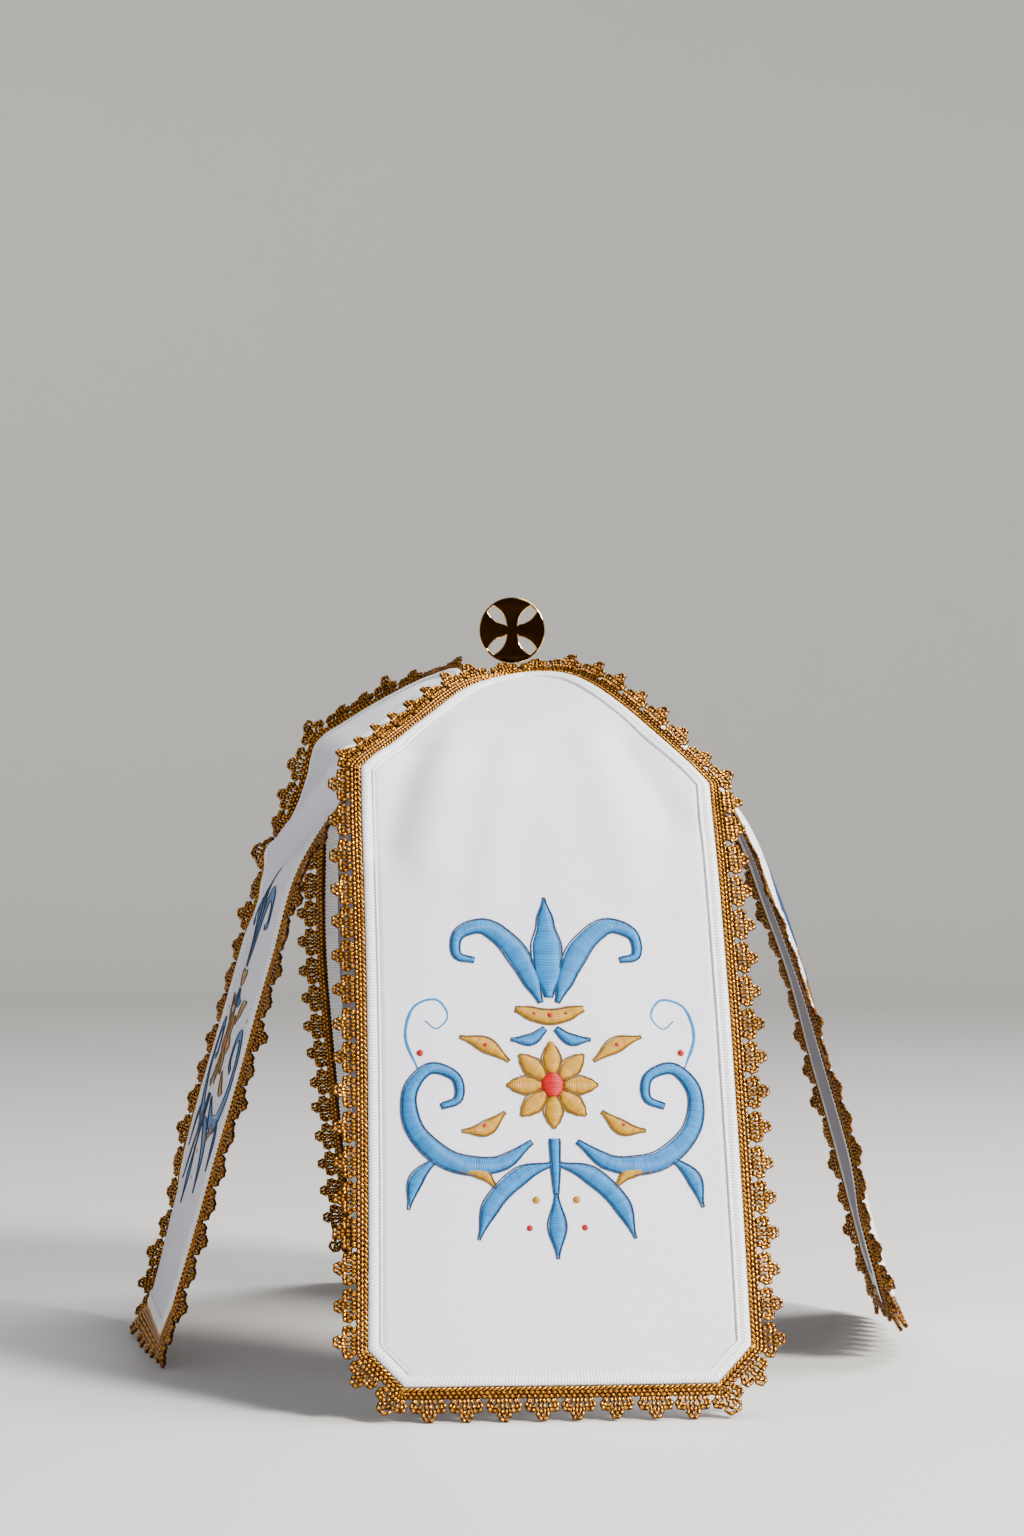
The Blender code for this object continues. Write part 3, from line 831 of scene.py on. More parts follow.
@dataclass(frozen=True)
class WovenCrepe:
    """White polyester crepe, woven and heat set: matt, with a soft bloom and a fine even grain."""

    name: str = "white_crepe_cloth"
    light: str = "#EDEDF3"
    shade: str = "#D8D8E6"
    thread_spacing: float = 0.75  # about twice the real one, which would be too fine to show
    mottle_size: float = 3.0

    def make(self) -> bpy.types.Material:
        """Builds the material."""
        material, tree, shader, place = start_material(self.name)
        waves = [
            add_node(
                tree, "ShaderNodeTexWave",
                {"Vector": place, "Scale": band_scale(self.thread_spacing), "Distortion": 1.2, "Detail": 1.0},
                bands_direction=direction,
            )
            for direction in ("X", "Y")
        ]
        across, down = (wave.outputs["Fac"] for wave in waves)
        weave = add_node(tree, "ShaderNodeMath", {0: across, 1: down}, operation="MULTIPLY")
        mottle = add_node(
            tree, "ShaderNodeTexNoise", {"Vector": place, "Scale": 1 / self.mottle_size, "Detail": 5.0}
        )
        grain = add_node(
            tree, "ShaderNodeMath", {0: mottle.outputs["Fac"], 1: weave.outputs[0], 2: 0.25},
            operation="MULTIPLY_ADD",
        )
        colour = add_node(tree, "ShaderNodeValToRGB", {"Fac": grain.outputs[0]})
        colour.color_ramp.elements[0].color = srgb(self.shade)
        colour.color_ramp.elements[0].position = 0.2
        colour.color_ramp.elements[1].color = srgb(self.light)
        colour.color_ramp.elements[1].position = 0.7
        bump = add_node(
            tree, "ShaderNodeBump", {"Height": grain.outputs[0], "Strength": 0.35, "Distance": 0.25 * MM}
        )
        tree.links.new(colour.outputs["Color"], shader.inputs["Base Color"])
        tree.links.new(bump.outputs["Normal"], shader.inputs["Normal"])
        shader.inputs["Roughness"].default_value = 0.85
        shader.inputs["Sheen Weight"].default_value = 0.25
        shader.inputs["Sheen Roughness"].default_value = 0.5
        shader.inputs["Specular IOR Level"].default_value = 0.25
        return material


@dataclass(frozen=True)
class ClothReverse:
    """The crepe's reverse: its white painted grey, a painted shade for the veil's shaded inside, with the
    embroidery's loose thread ends running down it.
    """

    name: str = "cloth_reverse_painted_shade"
    # Painted shade: this grey stands for the shade on the veil's inside, not for the cloth's own colour.
    painted_shade_grey: str = "#96939F"
    streak: str = "#2C3850"
    streak_width: float = 2.4
    streak_length: float = 40.0

    def make(self) -> bpy.types.Material:
        """Builds the material."""
        material, tree, shader, place = start_material(self.name)
        stretch = add_node(
            tree, "ShaderNodeVectorMath", {0: place, 1: (1 / self.streak_width, 1 / self.streak_length, 1.0)},
            operation="MULTIPLY",
        )
        streaks = add_node(
            tree, "ShaderNodeTexNoise", {"Vector": stretch.outputs[0], "Scale": 1.0, "Detail": 3.0}
        )
        tone = add_node(tree, "ShaderNodeAttribute", attribute_name="tone")
        masked = add_node(
            tree, "ShaderNodeMath", {0: streaks.outputs["Fac"], 1: tone.outputs["Fac"]}, operation="MULTIPLY"
        )
        colour = add_node(tree, "ShaderNodeValToRGB", {"Fac": masked.outputs[0]})
        colour.color_ramp.elements[0].color = srgb(self.painted_shade_grey)
        colour.color_ramp.elements[0].position = 0.47
        colour.color_ramp.elements[1].color = srgb(self.streak)
        colour.color_ramp.elements[1].position = 0.53
        bump = add_node(
            tree, "ShaderNodeBump", {"Height": streaks.outputs["Fac"], "Strength": 0.3, "Distance": 0.3 * MM}
        )
        tree.links.new(colour.outputs["Color"], shader.inputs["Base Color"])
        tree.links.new(bump.outputs["Normal"], shader.inputs["Normal"])
        shader.inputs["Roughness"].default_value = 0.9
        return material


@dataclass(frozen=True)
class StitchedSatin:
    """White polyester satin under close stitches: brighter than the cloth, with a soft gloss across it."""

    name: str = "white_satin_border"
    light: str = "#FFFFFD"
    shade: str = "#C9C9D4"
    stitch_spacing: float = 1.1  # coarser than the real one, which would be too fine to show
    patch_size: float = 2.857

    def make(self) -> bpy.types.Material:
        """Builds the material."""
        material, tree, shader, place = start_material(self.name)
        stitches = add_node(
            tree, "ShaderNodeTexWave",
            {
                "Vector": place, "Scale": band_scale(self.stitch_spacing),
                "Distortion": 2.5, "Detail": 2.0, "Detail Scale": 1.5,
            },
            bands_direction="X",
        )
        patch = add_node(
            tree, "ShaderNodeTexNoise", {"Vector": place, "Scale": 1 / self.patch_size, "Detail": 4.0}
        )
        mixed = add_node(
            tree, "ShaderNodeMath", {0: stitches.outputs["Fac"], 1: patch.outputs["Fac"], 2: 0.3},
            operation="MULTIPLY_ADD",
        )
        colour = add_node(tree, "ShaderNodeValToRGB", {"Fac": mixed.outputs[0]})
        colour.color_ramp.elements[0].color = srgb(self.shade)
        colour.color_ramp.elements[0].position = 0.3
        colour.color_ramp.elements[1].color = srgb(self.light)
        colour.color_ramp.elements[1].position = 0.6
        bump = add_node(
            tree, "ShaderNodeBump", {"Height": mixed.outputs[0], "Strength": 0.5, "Distance": 0.3 * MM}
        )
        tree.links.new(colour.outputs["Color"], shader.inputs["Base Color"])
        tree.links.new(bump.outputs["Normal"], shader.inputs["Normal"])
        shader.inputs["Roughness"].default_value = 0.42
        shader.inputs["Sheen Weight"].default_value = 0.3
        return material


@dataclass(frozen=True)
class MetalThread:
    """Gilt metal foil wound on a core and braided: bright on each turn, with painted highlights on bead
    crests and strand tops and a painted brown shade in the hollows and on the cords' sides.
    """

    name: str = "gilt_metal_lace"
    dark: str = "#261203"
    middle: str = "#96590B"
    bright: str = "#FBBB47"
    twist: float = 0.55  # the foil's turns, about twice as far apart as real ones so that they show
    patch_size: float = 2.2222

    def make(self) -> bpy.types.Material:
        """Builds the material."""
        material, tree, shader, place = start_material(self.name)
        tone = add_node(tree, "ShaderNodeAttribute", attribute_name="tone")
        where = add_node(tree, "ShaderNodeNewGeometry")
        patch = add_node(
            tree, "ShaderNodeTexNoise",
            {"Vector": where.outputs["Position"], "Scale": 1 / (self.patch_size * MM), "Detail": 2.0},
        )
        # The tone attribute paints light and shade into the colour: painted shade in the hollows between
        # beads, under crossing strands and on the cords' sides, painted highlights on bead crests and strand
        # tops.
        mixed = add_node(
            tree, "ShaderNodeMath", {0: tone.outputs["Fac"], 1: 0.9, 2: -0.2}, operation="MULTIPLY_ADD"
        )
        total = add_node(
            tree, "ShaderNodeMath", {0: patch.outputs["Fac"], 1: 0.5, 2: mixed.outputs[0]},
            operation="MULTIPLY_ADD",
        )
        colour = add_node(tree, "ShaderNodeValToRGB", {"Fac": total.outputs[0]})
        ramp = colour.color_ramp
        ramp.elements[0].color = srgb(self.dark)
        ramp.elements[0].position = 0.08
        ramp.elements[1].color = srgb(self.bright)
        ramp.elements[1].position = 0.95
        ramp.elements.new(0.48).color = srgb(self.middle)
        turns = add_node(
            tree, "ShaderNodeTexWave", {"Vector": place, "Scale": band_scale(self.twist)},
            bands_direction="DIAGONAL",
        )
        bump = add_node(
            tree, "ShaderNodeBump", {"Height": turns.outputs["Fac"], "Strength": 0.5, "Distance": 0.12 * MM}
        )
        tree.links.new(colour.outputs["Color"], shader.inputs["Base Color"])
        tree.links.new(bump.outputs["Normal"], shader.inputs["Normal"])
        shader.inputs["Metallic"].default_value = 0.85
        shader.inputs["Roughness"].default_value = 0.27
        return material


@dataclass(frozen=True)
class RayonThread:
    """Rayon embroidery thread laid side by side in satin stitch: each thread catches its own light."""

    name: str
    light: str
    dark: str
    roughness: float = 0.38
    thread_spacing: float = 0.6  # about twice the real one, which would be too fine to show
    patch_size: float = 2.0

    def make(self) -> bpy.types.Material:
        """Builds the material."""
        material, tree, shader, place = start_material(self.name)
        threads = add_node(
            tree, "ShaderNodeTexWave",
            {"Vector": place, "Scale": band_scale(self.thread_spacing), "Distortion": 1.0, "Detail": 1.0},
            bands_direction="X",
        )
        patch = add_node(
            tree, "ShaderNodeTexNoise", {"Vector": place, "Scale": 1 / self.patch_size, "Detail": 3.0}
        )
        mixed = add_node(
            tree, "ShaderNodeMath", {0: threads.outputs["Fac"], 1: 0.45, 2: patch.outputs["Fac"]},
            operation="MULTIPLY_ADD",
        )
        colour = add_node(tree, "ShaderNodeValToRGB", {"Fac": mixed.outputs[0]})
        colour.color_ramp.elements[0].color = srgb(self.dark)
        colour.color_ramp.elements[0].position = 0.35
        colour.color_ramp.elements[1].color = srgb(self.light)
        colour.color_ramp.elements[1].position = 0.95
        bump = add_node(
            tree, "ShaderNodeBump", {"Height": threads.outputs["Fac"], "Strength": 0.6, "Distance": 0.18 * MM}
        )
        tree.links.new(colour.outputs["Color"], shader.inputs["Base Color"])
        tree.links.new(bump.outputs["Normal"], shader.inputs["Normal"])
        shader.inputs["Roughness"].default_value = self.roughness
        shader.inputs["Specular IOR Level"].default_value = 0.3
        return material


@dataclass(frozen=True)
class GiltBrass:
    """Gilt brass, cast and polished: mirror-like, with faint polishing marks."""

    name: str
    colour: str
    roughness: float
    mark_size: float = 1.6667

    def make(self) -> bpy.types.Material:
        """Builds the material."""
        material, tree, shader, _ = start_material(self.name)
        where = add_node(tree, "ShaderNodeNewGeometry")
        marks = add_node(
            tree, "ShaderNodeTexNoise",
            {"Vector": where.outputs["Position"], "Scale": 1 / (self.mark_size * MM), "Detail": 4.0},
        )
        rough = add_node(
            tree, "ShaderNodeMath", {0: marks.outputs["Fac"], 1: 0.08, 2: self.roughness - 0.04},
            operation="MULTIPLY_ADD",
        )
        bump = add_node(
            tree, "ShaderNodeBump", {"Height": marks.outputs["Fac"], "Strength": 0.06, "Distance": 0.1 * MM}
        )
        tree.links.new(rough.outputs[0], shader.inputs["Roughness"])
        tree.links.new(bump.outputs["Normal"], shader.inputs["Normal"])
        shader.inputs["Base Color"].default_value = srgb(self.colour)
        shader.inputs["Metallic"].default_value = 1.0
        return material


@dataclass(frozen=True)
class Finishes:
    """All materials of the veil, made once."""

    cloth: bpy.types.Material
    reverse: bpy.types.Material
    satin: bpy.types.Material
    lace: bpy.types.Material
    threads: dict[Thread, tuple[bpy.types.Material, bpy.types.Material]]
    polished: bpy.types.Material
    painted_dark_reflection: bpy.types.Material

    @staticmethod
    def make() -> Finishes:
        """Makes every material.

        Returns:
            The finishes; each thread has its own and that of the cord round it.
        """
        threads = {
            Thread.BLUE: (
                RayonThread("blue_rayon_thread", "#1E80C0", "#0C528C").make(),
                RayonThread("navy_rayon_thread", "#1F3F66", "#0F2440").make(),
            ),
            Thread.GOLD: (
                RayonThread("gold_rayon_thread", "#C89212", "#835807").make(),
                RayonThread("brown_rayon_thread", "#7C5A1C", "#523808").make(),
            ),
            Thread.RED: (
                RayonThread("red_rayon_thread", "#C00A10", "#7C0406").make(),
                RayonThread("dark_red_rayon_thread", "#8A1016", "#5A080C").make(),
            ),
        }
        return Finishes(
            cloth=WovenCrepe().make(),
            reverse=ClothReverse().make(),
            satin=StitchedSatin().make(),
            lace=MetalThread().make(),
            threads=threads,
            polished=GiltBrass("polished_gilt_brass", "#FFD486", 0.12).make(),
            # The same polished gilt brass painted near-black brown: a painted dark reflection for the plate's
            # flat faces.
            painted_dark_reflection=GiltBrass("dark_gilt_brass", "#3A2207", 0.12).make(),
        )


@dataclass
class ClothPanel:
    """The panel's cloth inside its border, with its two faces."""

    drape: Drape
    outline: Outline
    row_step: float = 2.4
    columns: int = 52
    tuck: float = 0.05
    # Where the reverse shows thread ends: the middle down from the shoulder, half-sizes, and level there
    stitched_middle: float = 115.0
    stitched_reach: tuple[float, float] = (50.0, 70.0)
    stitched_level: float = 1.3

    def build(self, finishes: Finishes) -> bpy.types.Object:
        """Makes the cloth.

        Args:
            finishes: the materials.

        Returns:
            The cloth.
        """
        edge = self.outline.moved(-BORDER_WIDTH - self.tuck)
        right = edge[: len(edge) // 2]
        rows = np.arange(right[0, 1], right[-1, 1], self.row_step)
        rows = np.unique(np.round(np.concatenate([rows, right[:, 1]]), 3))
        half = np.interp(rows, right[:, 1], right[:, 0])
        shares = np.linspace(-1.0, 1.0, self.columns + 1)
        spots = np.stack(np.broadcast_arrays(half[:, None] * shares, rows[:, None]), axis=2).reshape(-1, 2)
        grid = np.arange(len(spots)).reshape(len(rows), len(shares))
        faces = np.stack([grid[:-1, :-1], grid[:-1, 1:], grid[1:, 1:], grid[1:, :-1]], axis=2).reshape(-1, 4)
        ring = np.concatenate([grid[0, :-1], grid[:-1, -1], grid[-1, :0:-1], grid[:0:-1, 0]])
        after = np.roll(ring, -1)
        count = len(spots)
        rim = np.stack([after, ring, ring + count, after + count], axis=1)
        down = spots[:, 1] - self.drape.roof_length
        reach_across, reach_down = self.stitched_reach
        away = np.hypot(spots[:, 0] / reach_across, (down - self.stitched_middle) / reach_down)
        stitched = np.clip(self.stitched_level - away, 0.0, 1.0)
        points = np.vstack([self.drape.lay(spots, 0.0), self.drape.lay(spots, -CLOTH_THICKNESS)])
        sheaf = Sheaf()
        both = np.vstack([spots, spots])
        tones = np.concatenate([stitched, stitched])
        sheaf.add(points, both, tones, np.vstack([faces, rim]), 0)
        sheaf.faces.extend(map(tuple, (faces[:, ::-1] + count).tolist()))
        sheaf.finishes.extend([1] * len(faces))
        name = self.drape.panel.name
        cloth = sheaf.build(f"cloth_{name}", (finishes.cloth, finishes.reverse), "white_cloth")
        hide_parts(f"panel_{name}")
        return cloth


@dataclass
class SatinBorder:
    """The satin band sewn over the cloth's edge, puffed, with a raised seam along its inner side."""

    drape: Drape
    outline: Outline
    step: float = 1.6
    unevenness: float = 0.05
    # Places across the band from its outer edge, and how far each stands off the cloth
    profile: tuple[tuple[float, float], ...] = (
        (0.0, -1.7), (0.0, 0.1), (-0.4, 0.6), (-1.5, 0.9), (-2.6, 0.75), (-3.3, 0.35),
        (-3.7, 0.3), (-3.95, 0.75), (-4.25, 0.95), (-4.55, 0.75), (-4.75, 0.02), (-4.75, -1.7),
    )

    def build(self, finishes: Finishes) -> bpy.types.Object:
        """Makes the border.

        Args:
            finishes: the materials.

        Returns:
            The border.
        """
        sides, shares = self.outline.places(self.step)
        wobble = np.random.default_rng(7).normal(0.0, self.unevenness, len(sides))
        sections = []
        for offset, lift in self.profile:
            spots = Outline.sample(self.outline.moved(offset), sides, shares)
            rise = lift + (wobble if lift > 0.0 else 0.0)
            sections.append(self.drape.lay(spots, rise))
        middle = Outline.sample(self.outline.moved(-BORDER_WIDTH / 2), sides, shares)
        sheaf = Sheaf()
        sheaf.sweep(np.stack(sections, axis=1), distances(middle), np.ones(len(middle)), True)
        name = self.drape.panel.name
        border = sheaf.build(f"border_{name}", (finishes.satin,), "white_satin")
        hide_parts(f"binding_{name}")
        return border


class Arc(NamedTuple):
    """An arc of lace cord: its centre along and out from the edge, its radius, and its angles."""

    along: float
    out: float
    radius: float
    start: float
    end: float


class LaceCord(NamedTuple):
    """One cord of the lace on the flat pattern: its path, and at each point lift, radius and tone, which is
    painted light and shade.
    """

    path: np.ndarray
    lifts: np.ndarray
    radii: np.ndarray
    tones: np.ndarray
    is_loop: bool


@dataclass
class MetalLace:
    """Twisted rows along the edge, and scallops of beaded cord that end in three lobes."""

    drape: Drape
    outline: Outline
    seed: int
    pitch: float = 12.8
    cord_radius: float = 0.7
    bead_length: float = 1.9
    bead_swell: float = 0.3
    cord_sides: int = 6
    middle_lift: float = -0.6
    twist_row: float = 1.0
    twist_length: float = 3.6
    twist_radius: float = 0.5
    twist_swing: float = 0.5
    twist_points: int = 6
    beaded_rows: tuple[float, ...] = (2.3, 3.6)
    row_lift: float = 0.05
    root: float = 4.1
    half_width: float = 4.5
    outline_lift: float = 0.12
    curl_lift: float = 0.06
    # How unevenly the scallops lean, widen, lengthen and bend
    unevenness: tuple[float, float, float, float] = (0.05, 0.03, 0.018, 0.014)
    arc_steps: int = 24
    lobes: tuple[Arc, ...] = (
        Arc(-3.75, 6.9, 1.75, 250.0, 25.0),
        Arc(0.0, 9.95, 1.85, 218.0, -38.0),
        Arc(3.75, 6.9, 1.75, 155.0, -70.0),
    )
    hairpin: tuple[tuple[float, float], ...] = (
        (-0.7, 4.1), (-0.68, 8.9), (-0.5, 10.0), (0.0, 10.4), (0.5, 10.0), (0.68, 8.9), (0.7, 4.1),
    )
    curl: tuple[tuple[float, float], ...] = (
        (2.0, 4.2), (2.1, 5.6), (2.8, 7.2), (3.8, 7.6), (4.3, 6.9), (3.9, 5.6), (3.5, 4.2),
    )

    def arc_points(self, arc: Arc) -> np.ndarray:
        """Points along an arc, close together.

        Args:
            arc: the arc.

        Returns:
            The points on the flat pattern.
        """
        angles = np.radians(np.linspace(arc.start, arc.end, self.arc_steps))
        circle = np.stack([np.cos(angles), np.sin(angles)], axis=1)
        return np.array((arc.along, arc.out)) + arc.radius * circle

    def beaded(self, path: np.ndarray, lifts: np.ndarray | float, is_loop: bool) -> LaceCord:
        """A cord of beads, with a point at each bead and between two.

        Args:
            path: its points, at half a bead from each other.
            lifts: how far it stands up.
            is_loop: whether it is closed.

        Returns:
            The cord.
        """
        crest = np.where(np.arange(len(path)) % 2, 1.0, -1.0)
        radii = self.cord_radius * (1.0 + self.bead_swell * crest)
        # Tone: full on each bead, a painted highlight, and none at the waists between beads, a painted shade.
        return LaceCord(path, np.broadcast_to(lifts, len(path)), radii, 0.5 + 0.5 * crest, is_loop)

    def scallop(self, centre: float, stretch: float, random: np.random.Generator) -> Iterable[LaceCord]:
        """One scallop's cords.

        Args:
            centre: its place along the edge.
            stretch: how much its width differs from the pitch.
            random: the source of its unevenness.

        Yields:
            Its outline, the hairpin up its middle, and the curl in each side lobe.
        """
        arcs = [self.arc_points(arc) for arc in self.lobes]
        outline = np.vstack([[(-self.half_width, self.root)], *arcs, [(self.half_width, self.root)]])
        curl = smooth_curve(self.curl)
        lean, wide, longer, bend = random.normal(0.0, self.unevenness)
        paths = (outline, smooth_curve(self.hairpin), curl, curl * (-1, 1))
        for path, lift in zip(paths, (self.outline_lift, 0.0, self.curl_lift, self.curl_lift)):
            count = max(3, 2 * round(distances(path)[-1] / self.bead_length) + 1)
            even = resampled(path, count)
            free = np.clip(even[:, 1] - self.root, 0.0, None)
            along = centre + even[:, 0] * stretch * (1.0 + wide) + free * lean
            out = np.minimum(even[:, 1], self.root) + free * (1.0 + longer)
            yield self.beaded(np.stack([along, out], axis=1), lift + bend * free**2, False)

    def rows(self, total: float) -> Iterable[LaceCord]:
        """The rows along the edge: two strands twisted round each other, and rows of beads.

        Args:
            total: the length of the edge.

        Yields:
            Each strand.
        """
        turns = round(total / self.twist_length)
        angle = np.arange(self.twist_points * turns) * math.tau / self.twist_points
        along = angle / math.tau / turns * total
        radii = np.full(len(angle), self.twist_radius)
        for strand in (0.0, math.pi):
            path = np.stack([along, self.twist_row + self.twist_swing * np.sin(angle + strand)], axis=1)
            rise = np.cos(angle + strand)
            # Tone: full where the strand lies over the other and low where it passes under, a painted shade.
            yield LaceCord(path, self.twist_swing * rise, radii, 0.5 + 0.5 * rise, True)
        beads = round(total / self.bead_length)
        for number, middle in enumerate(self.beaded_rows):
            along = (np.arange(2 * beads) / 2 + number / 2) / beads * total
            yield self.beaded(np.stack([along, np.full(2 * beads, middle)], axis=1), self.row_lift, True)

    def build(self, finishes: Finishes) -> bpy.types.Object:
        """Makes the lace.

        Args:
            finishes: the materials.

        Returns:
            The lace.
        """
        edge = LaceEdge(self.drape, self.outline)
        random = np.random.default_rng(self.seed)
        cords = list(self.rows(edge.total))
        count = round(edge.total / self.pitch)
        width = edge.total / count
        for scallop in range(count):
            cords.extend(self.scallop((scallop + 0.5) * width, width / self.pitch, random))
        flat = np.vstack([cord.path for cord in cords])
        lifts = np.concatenate([cord.lifts for cord in cords]) + self.middle_lift
        points, normals = edge.lay(flat[:, 0], flat[:, 1], lifts)
        sheaf = Sheaf()
        start = 0
        for cord in cords:
            here = slice(start, start + len(cord.path))
            start += len(cord.path)
            sheaf.cord(points[here], normals[here], cord.radii, self.cord_sides, cord.is_loop, cord.tones)
        name = self.drape.panel.name
        lace = sheaf.build(f"metal_lace_{name}", (finishes.lace,), "gold_lace")
        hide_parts(f"lace_{name}")
        return lace


@dataclass
class Embroidery:
    """Padded satin stitch on one panel: a piece for each colour of thread."""

    drape: Drape
    step: float = 1.0
    arch_points: int = 9
    fullness: float = 1.0
    full_half_width: float = 1.5
    sunk: float = -0.25
    cord_radius: float = 0.32
    cord_thinning: float = 0.88
    dot_steps: int = 9
    corded_dot_radius: float = 2.0
    petal: tuple[float, ...] = (1.2, 2.9, 3.5, 2.4, 0.3)
    petal_reach: tuple[float, ...] = (4.0, 10.0, 16.0)

    def widths(self, half_widths: Sequence[float], count: int) -> np.ndarray:
        """Half-widths along a line, eased between the given ones.

        Args:
            half_widths: the given half-widths, evenly along the line.
            count: how many points the line has.

        Returns:
            The half-width at each point.
        """
        places = np.linspace(0.0, len(half_widths) - 1.0, count)
        index = np.clip(places.astype(int), 0, len(half_widths) - 2)
        part = places - index
        eased = part * part * (3.0 - 2.0 * part)
        values = np.array(half_widths, float)
        return values[index] + (values[index + 1] - values[index]) * eased

    def pad(self, sheaf: Sheaf, line: np.ndarray, widths: np.ndarray, padding: float, has_cord: bool) -> None:
        """Adds one padded shape, and the cord round it.

        Args:
            sheaf: where it goes.
            line: its middle line on the pattern.
            widths: its half-width at each point.
            padding: how far its middle stands off the cloth.
            has_cord: whether a thin dark cord runs round it.
        """
        heading = unit(np.gradient(line, axis=0))
        side = np.stack([heading[:, 1], -heading[:, 0]], axis=1)
        sections = []
        fullness = np.minimum(1.0, widths / self.full_half_width) * self.fullness
        for place in np.linspace(-1.0, 1.0, self.arch_points):
            spots = line + side * (widths * place)[:, None]
            rise = self.sunk + (padding - self.sunk) * math.sqrt(max(0.0, 1.0 - place**2)) * fullness
            sections.append(self.drape.lay(spots, rise))
        sheaf.sweep(np.stack(sections, axis=1), distances(line), np.ones(len(line)), False)
        if not has_cord:
            return
        edge = widths[:, None] + self.cord_radius * 0.4
        loop = np.vstack([line + side * edge, (line - side * edge)[::-1]])
        path = self.drape.lay(loop, self.cord_radius * 0.6)
        _, _, normals = self.drape.directions(loop, True)
        radii = np.full(len(loop), self.cord_radius)
        radii[::2] *= self.cord_thinning
        sheaf.cord(path, normals, radii, 5, True, np.ones(len(loop)), finish=1)

    def build(self, finishes: Finishes) -> list[bpy.types.Object]:
        """Makes the embroidery.

        Args:
            finishes: the materials.

        Returns:
            A piece for each colour of thread.
        """
        sheaves = {thread: Sheaf() for thread in Thread}
        origin = np.array((0.0, self.drape.roof_length + EMBROIDERY_TOP))
        for stroke in self.all_strokes():
            for flip in (1.0, -1.0) if stroke.is_mirrored else (1.0,):
                curve = smooth_curve(stroke.line)
                count = max(6, round(distances(curve)[-1] / self.step))
                line = resampled(curve, count) * (flip, 1.0) + origin
                widths = self.widths(stroke.half_widths, len(line))
                self.pad(sheaves[stroke.thread], line, widths, stroke.padding, stroke.is_outlined)
        for dot in DOTS:
            for flip in (1.0, -1.0) if dot.is_mirrored else (1.0,):
                places = np.sin(np.linspace(-1.0, 1.0, self.dot_steps) * math.pi / 2)
                across = np.full(self.dot_steps, dot.across * flip)
                line = np.stack([across, dot.down + places * dot.radius], axis=1) + origin
                widths = dot.radius * np.sqrt(np.maximum(0.0, 1.0 - places**2)) + 0.02
                self.pad(sheaves[dot.thread], line, widths, dot.padding, dot.radius > self.corded_dot_radius)
        pieces = []
        for thread, sheaf in sheaves.items():
            name = f"{thread.value}_stitching_{self.drape.panel.name}"
            pieces.append(sheaf.build(name, finishes.threads[thread], f"{thread.value}_thread"))
        return pieces

    def all_strokes(self) -> list[Stroke]:
        """The design's strokes, with the rosette's petals turned round its centre.

        Returns:
            Every stroke.
        """
        strokes = list(STROKES)
        across, down = ROSETTE_CENTRE
        for petal in range(ROSETTE_PETALS):
            angle = math.tau * petal / ROSETTE_PETALS
            sine, cosine = math.sin(angle), math.cos(angle)
            line = tuple((across + sine * radius, down - cosine * radius) for radius in self.petal_reach)
            strokes.append(Stroke(line, self.petal, 1.0, Thread.GOLD, True, False))
        return strokes


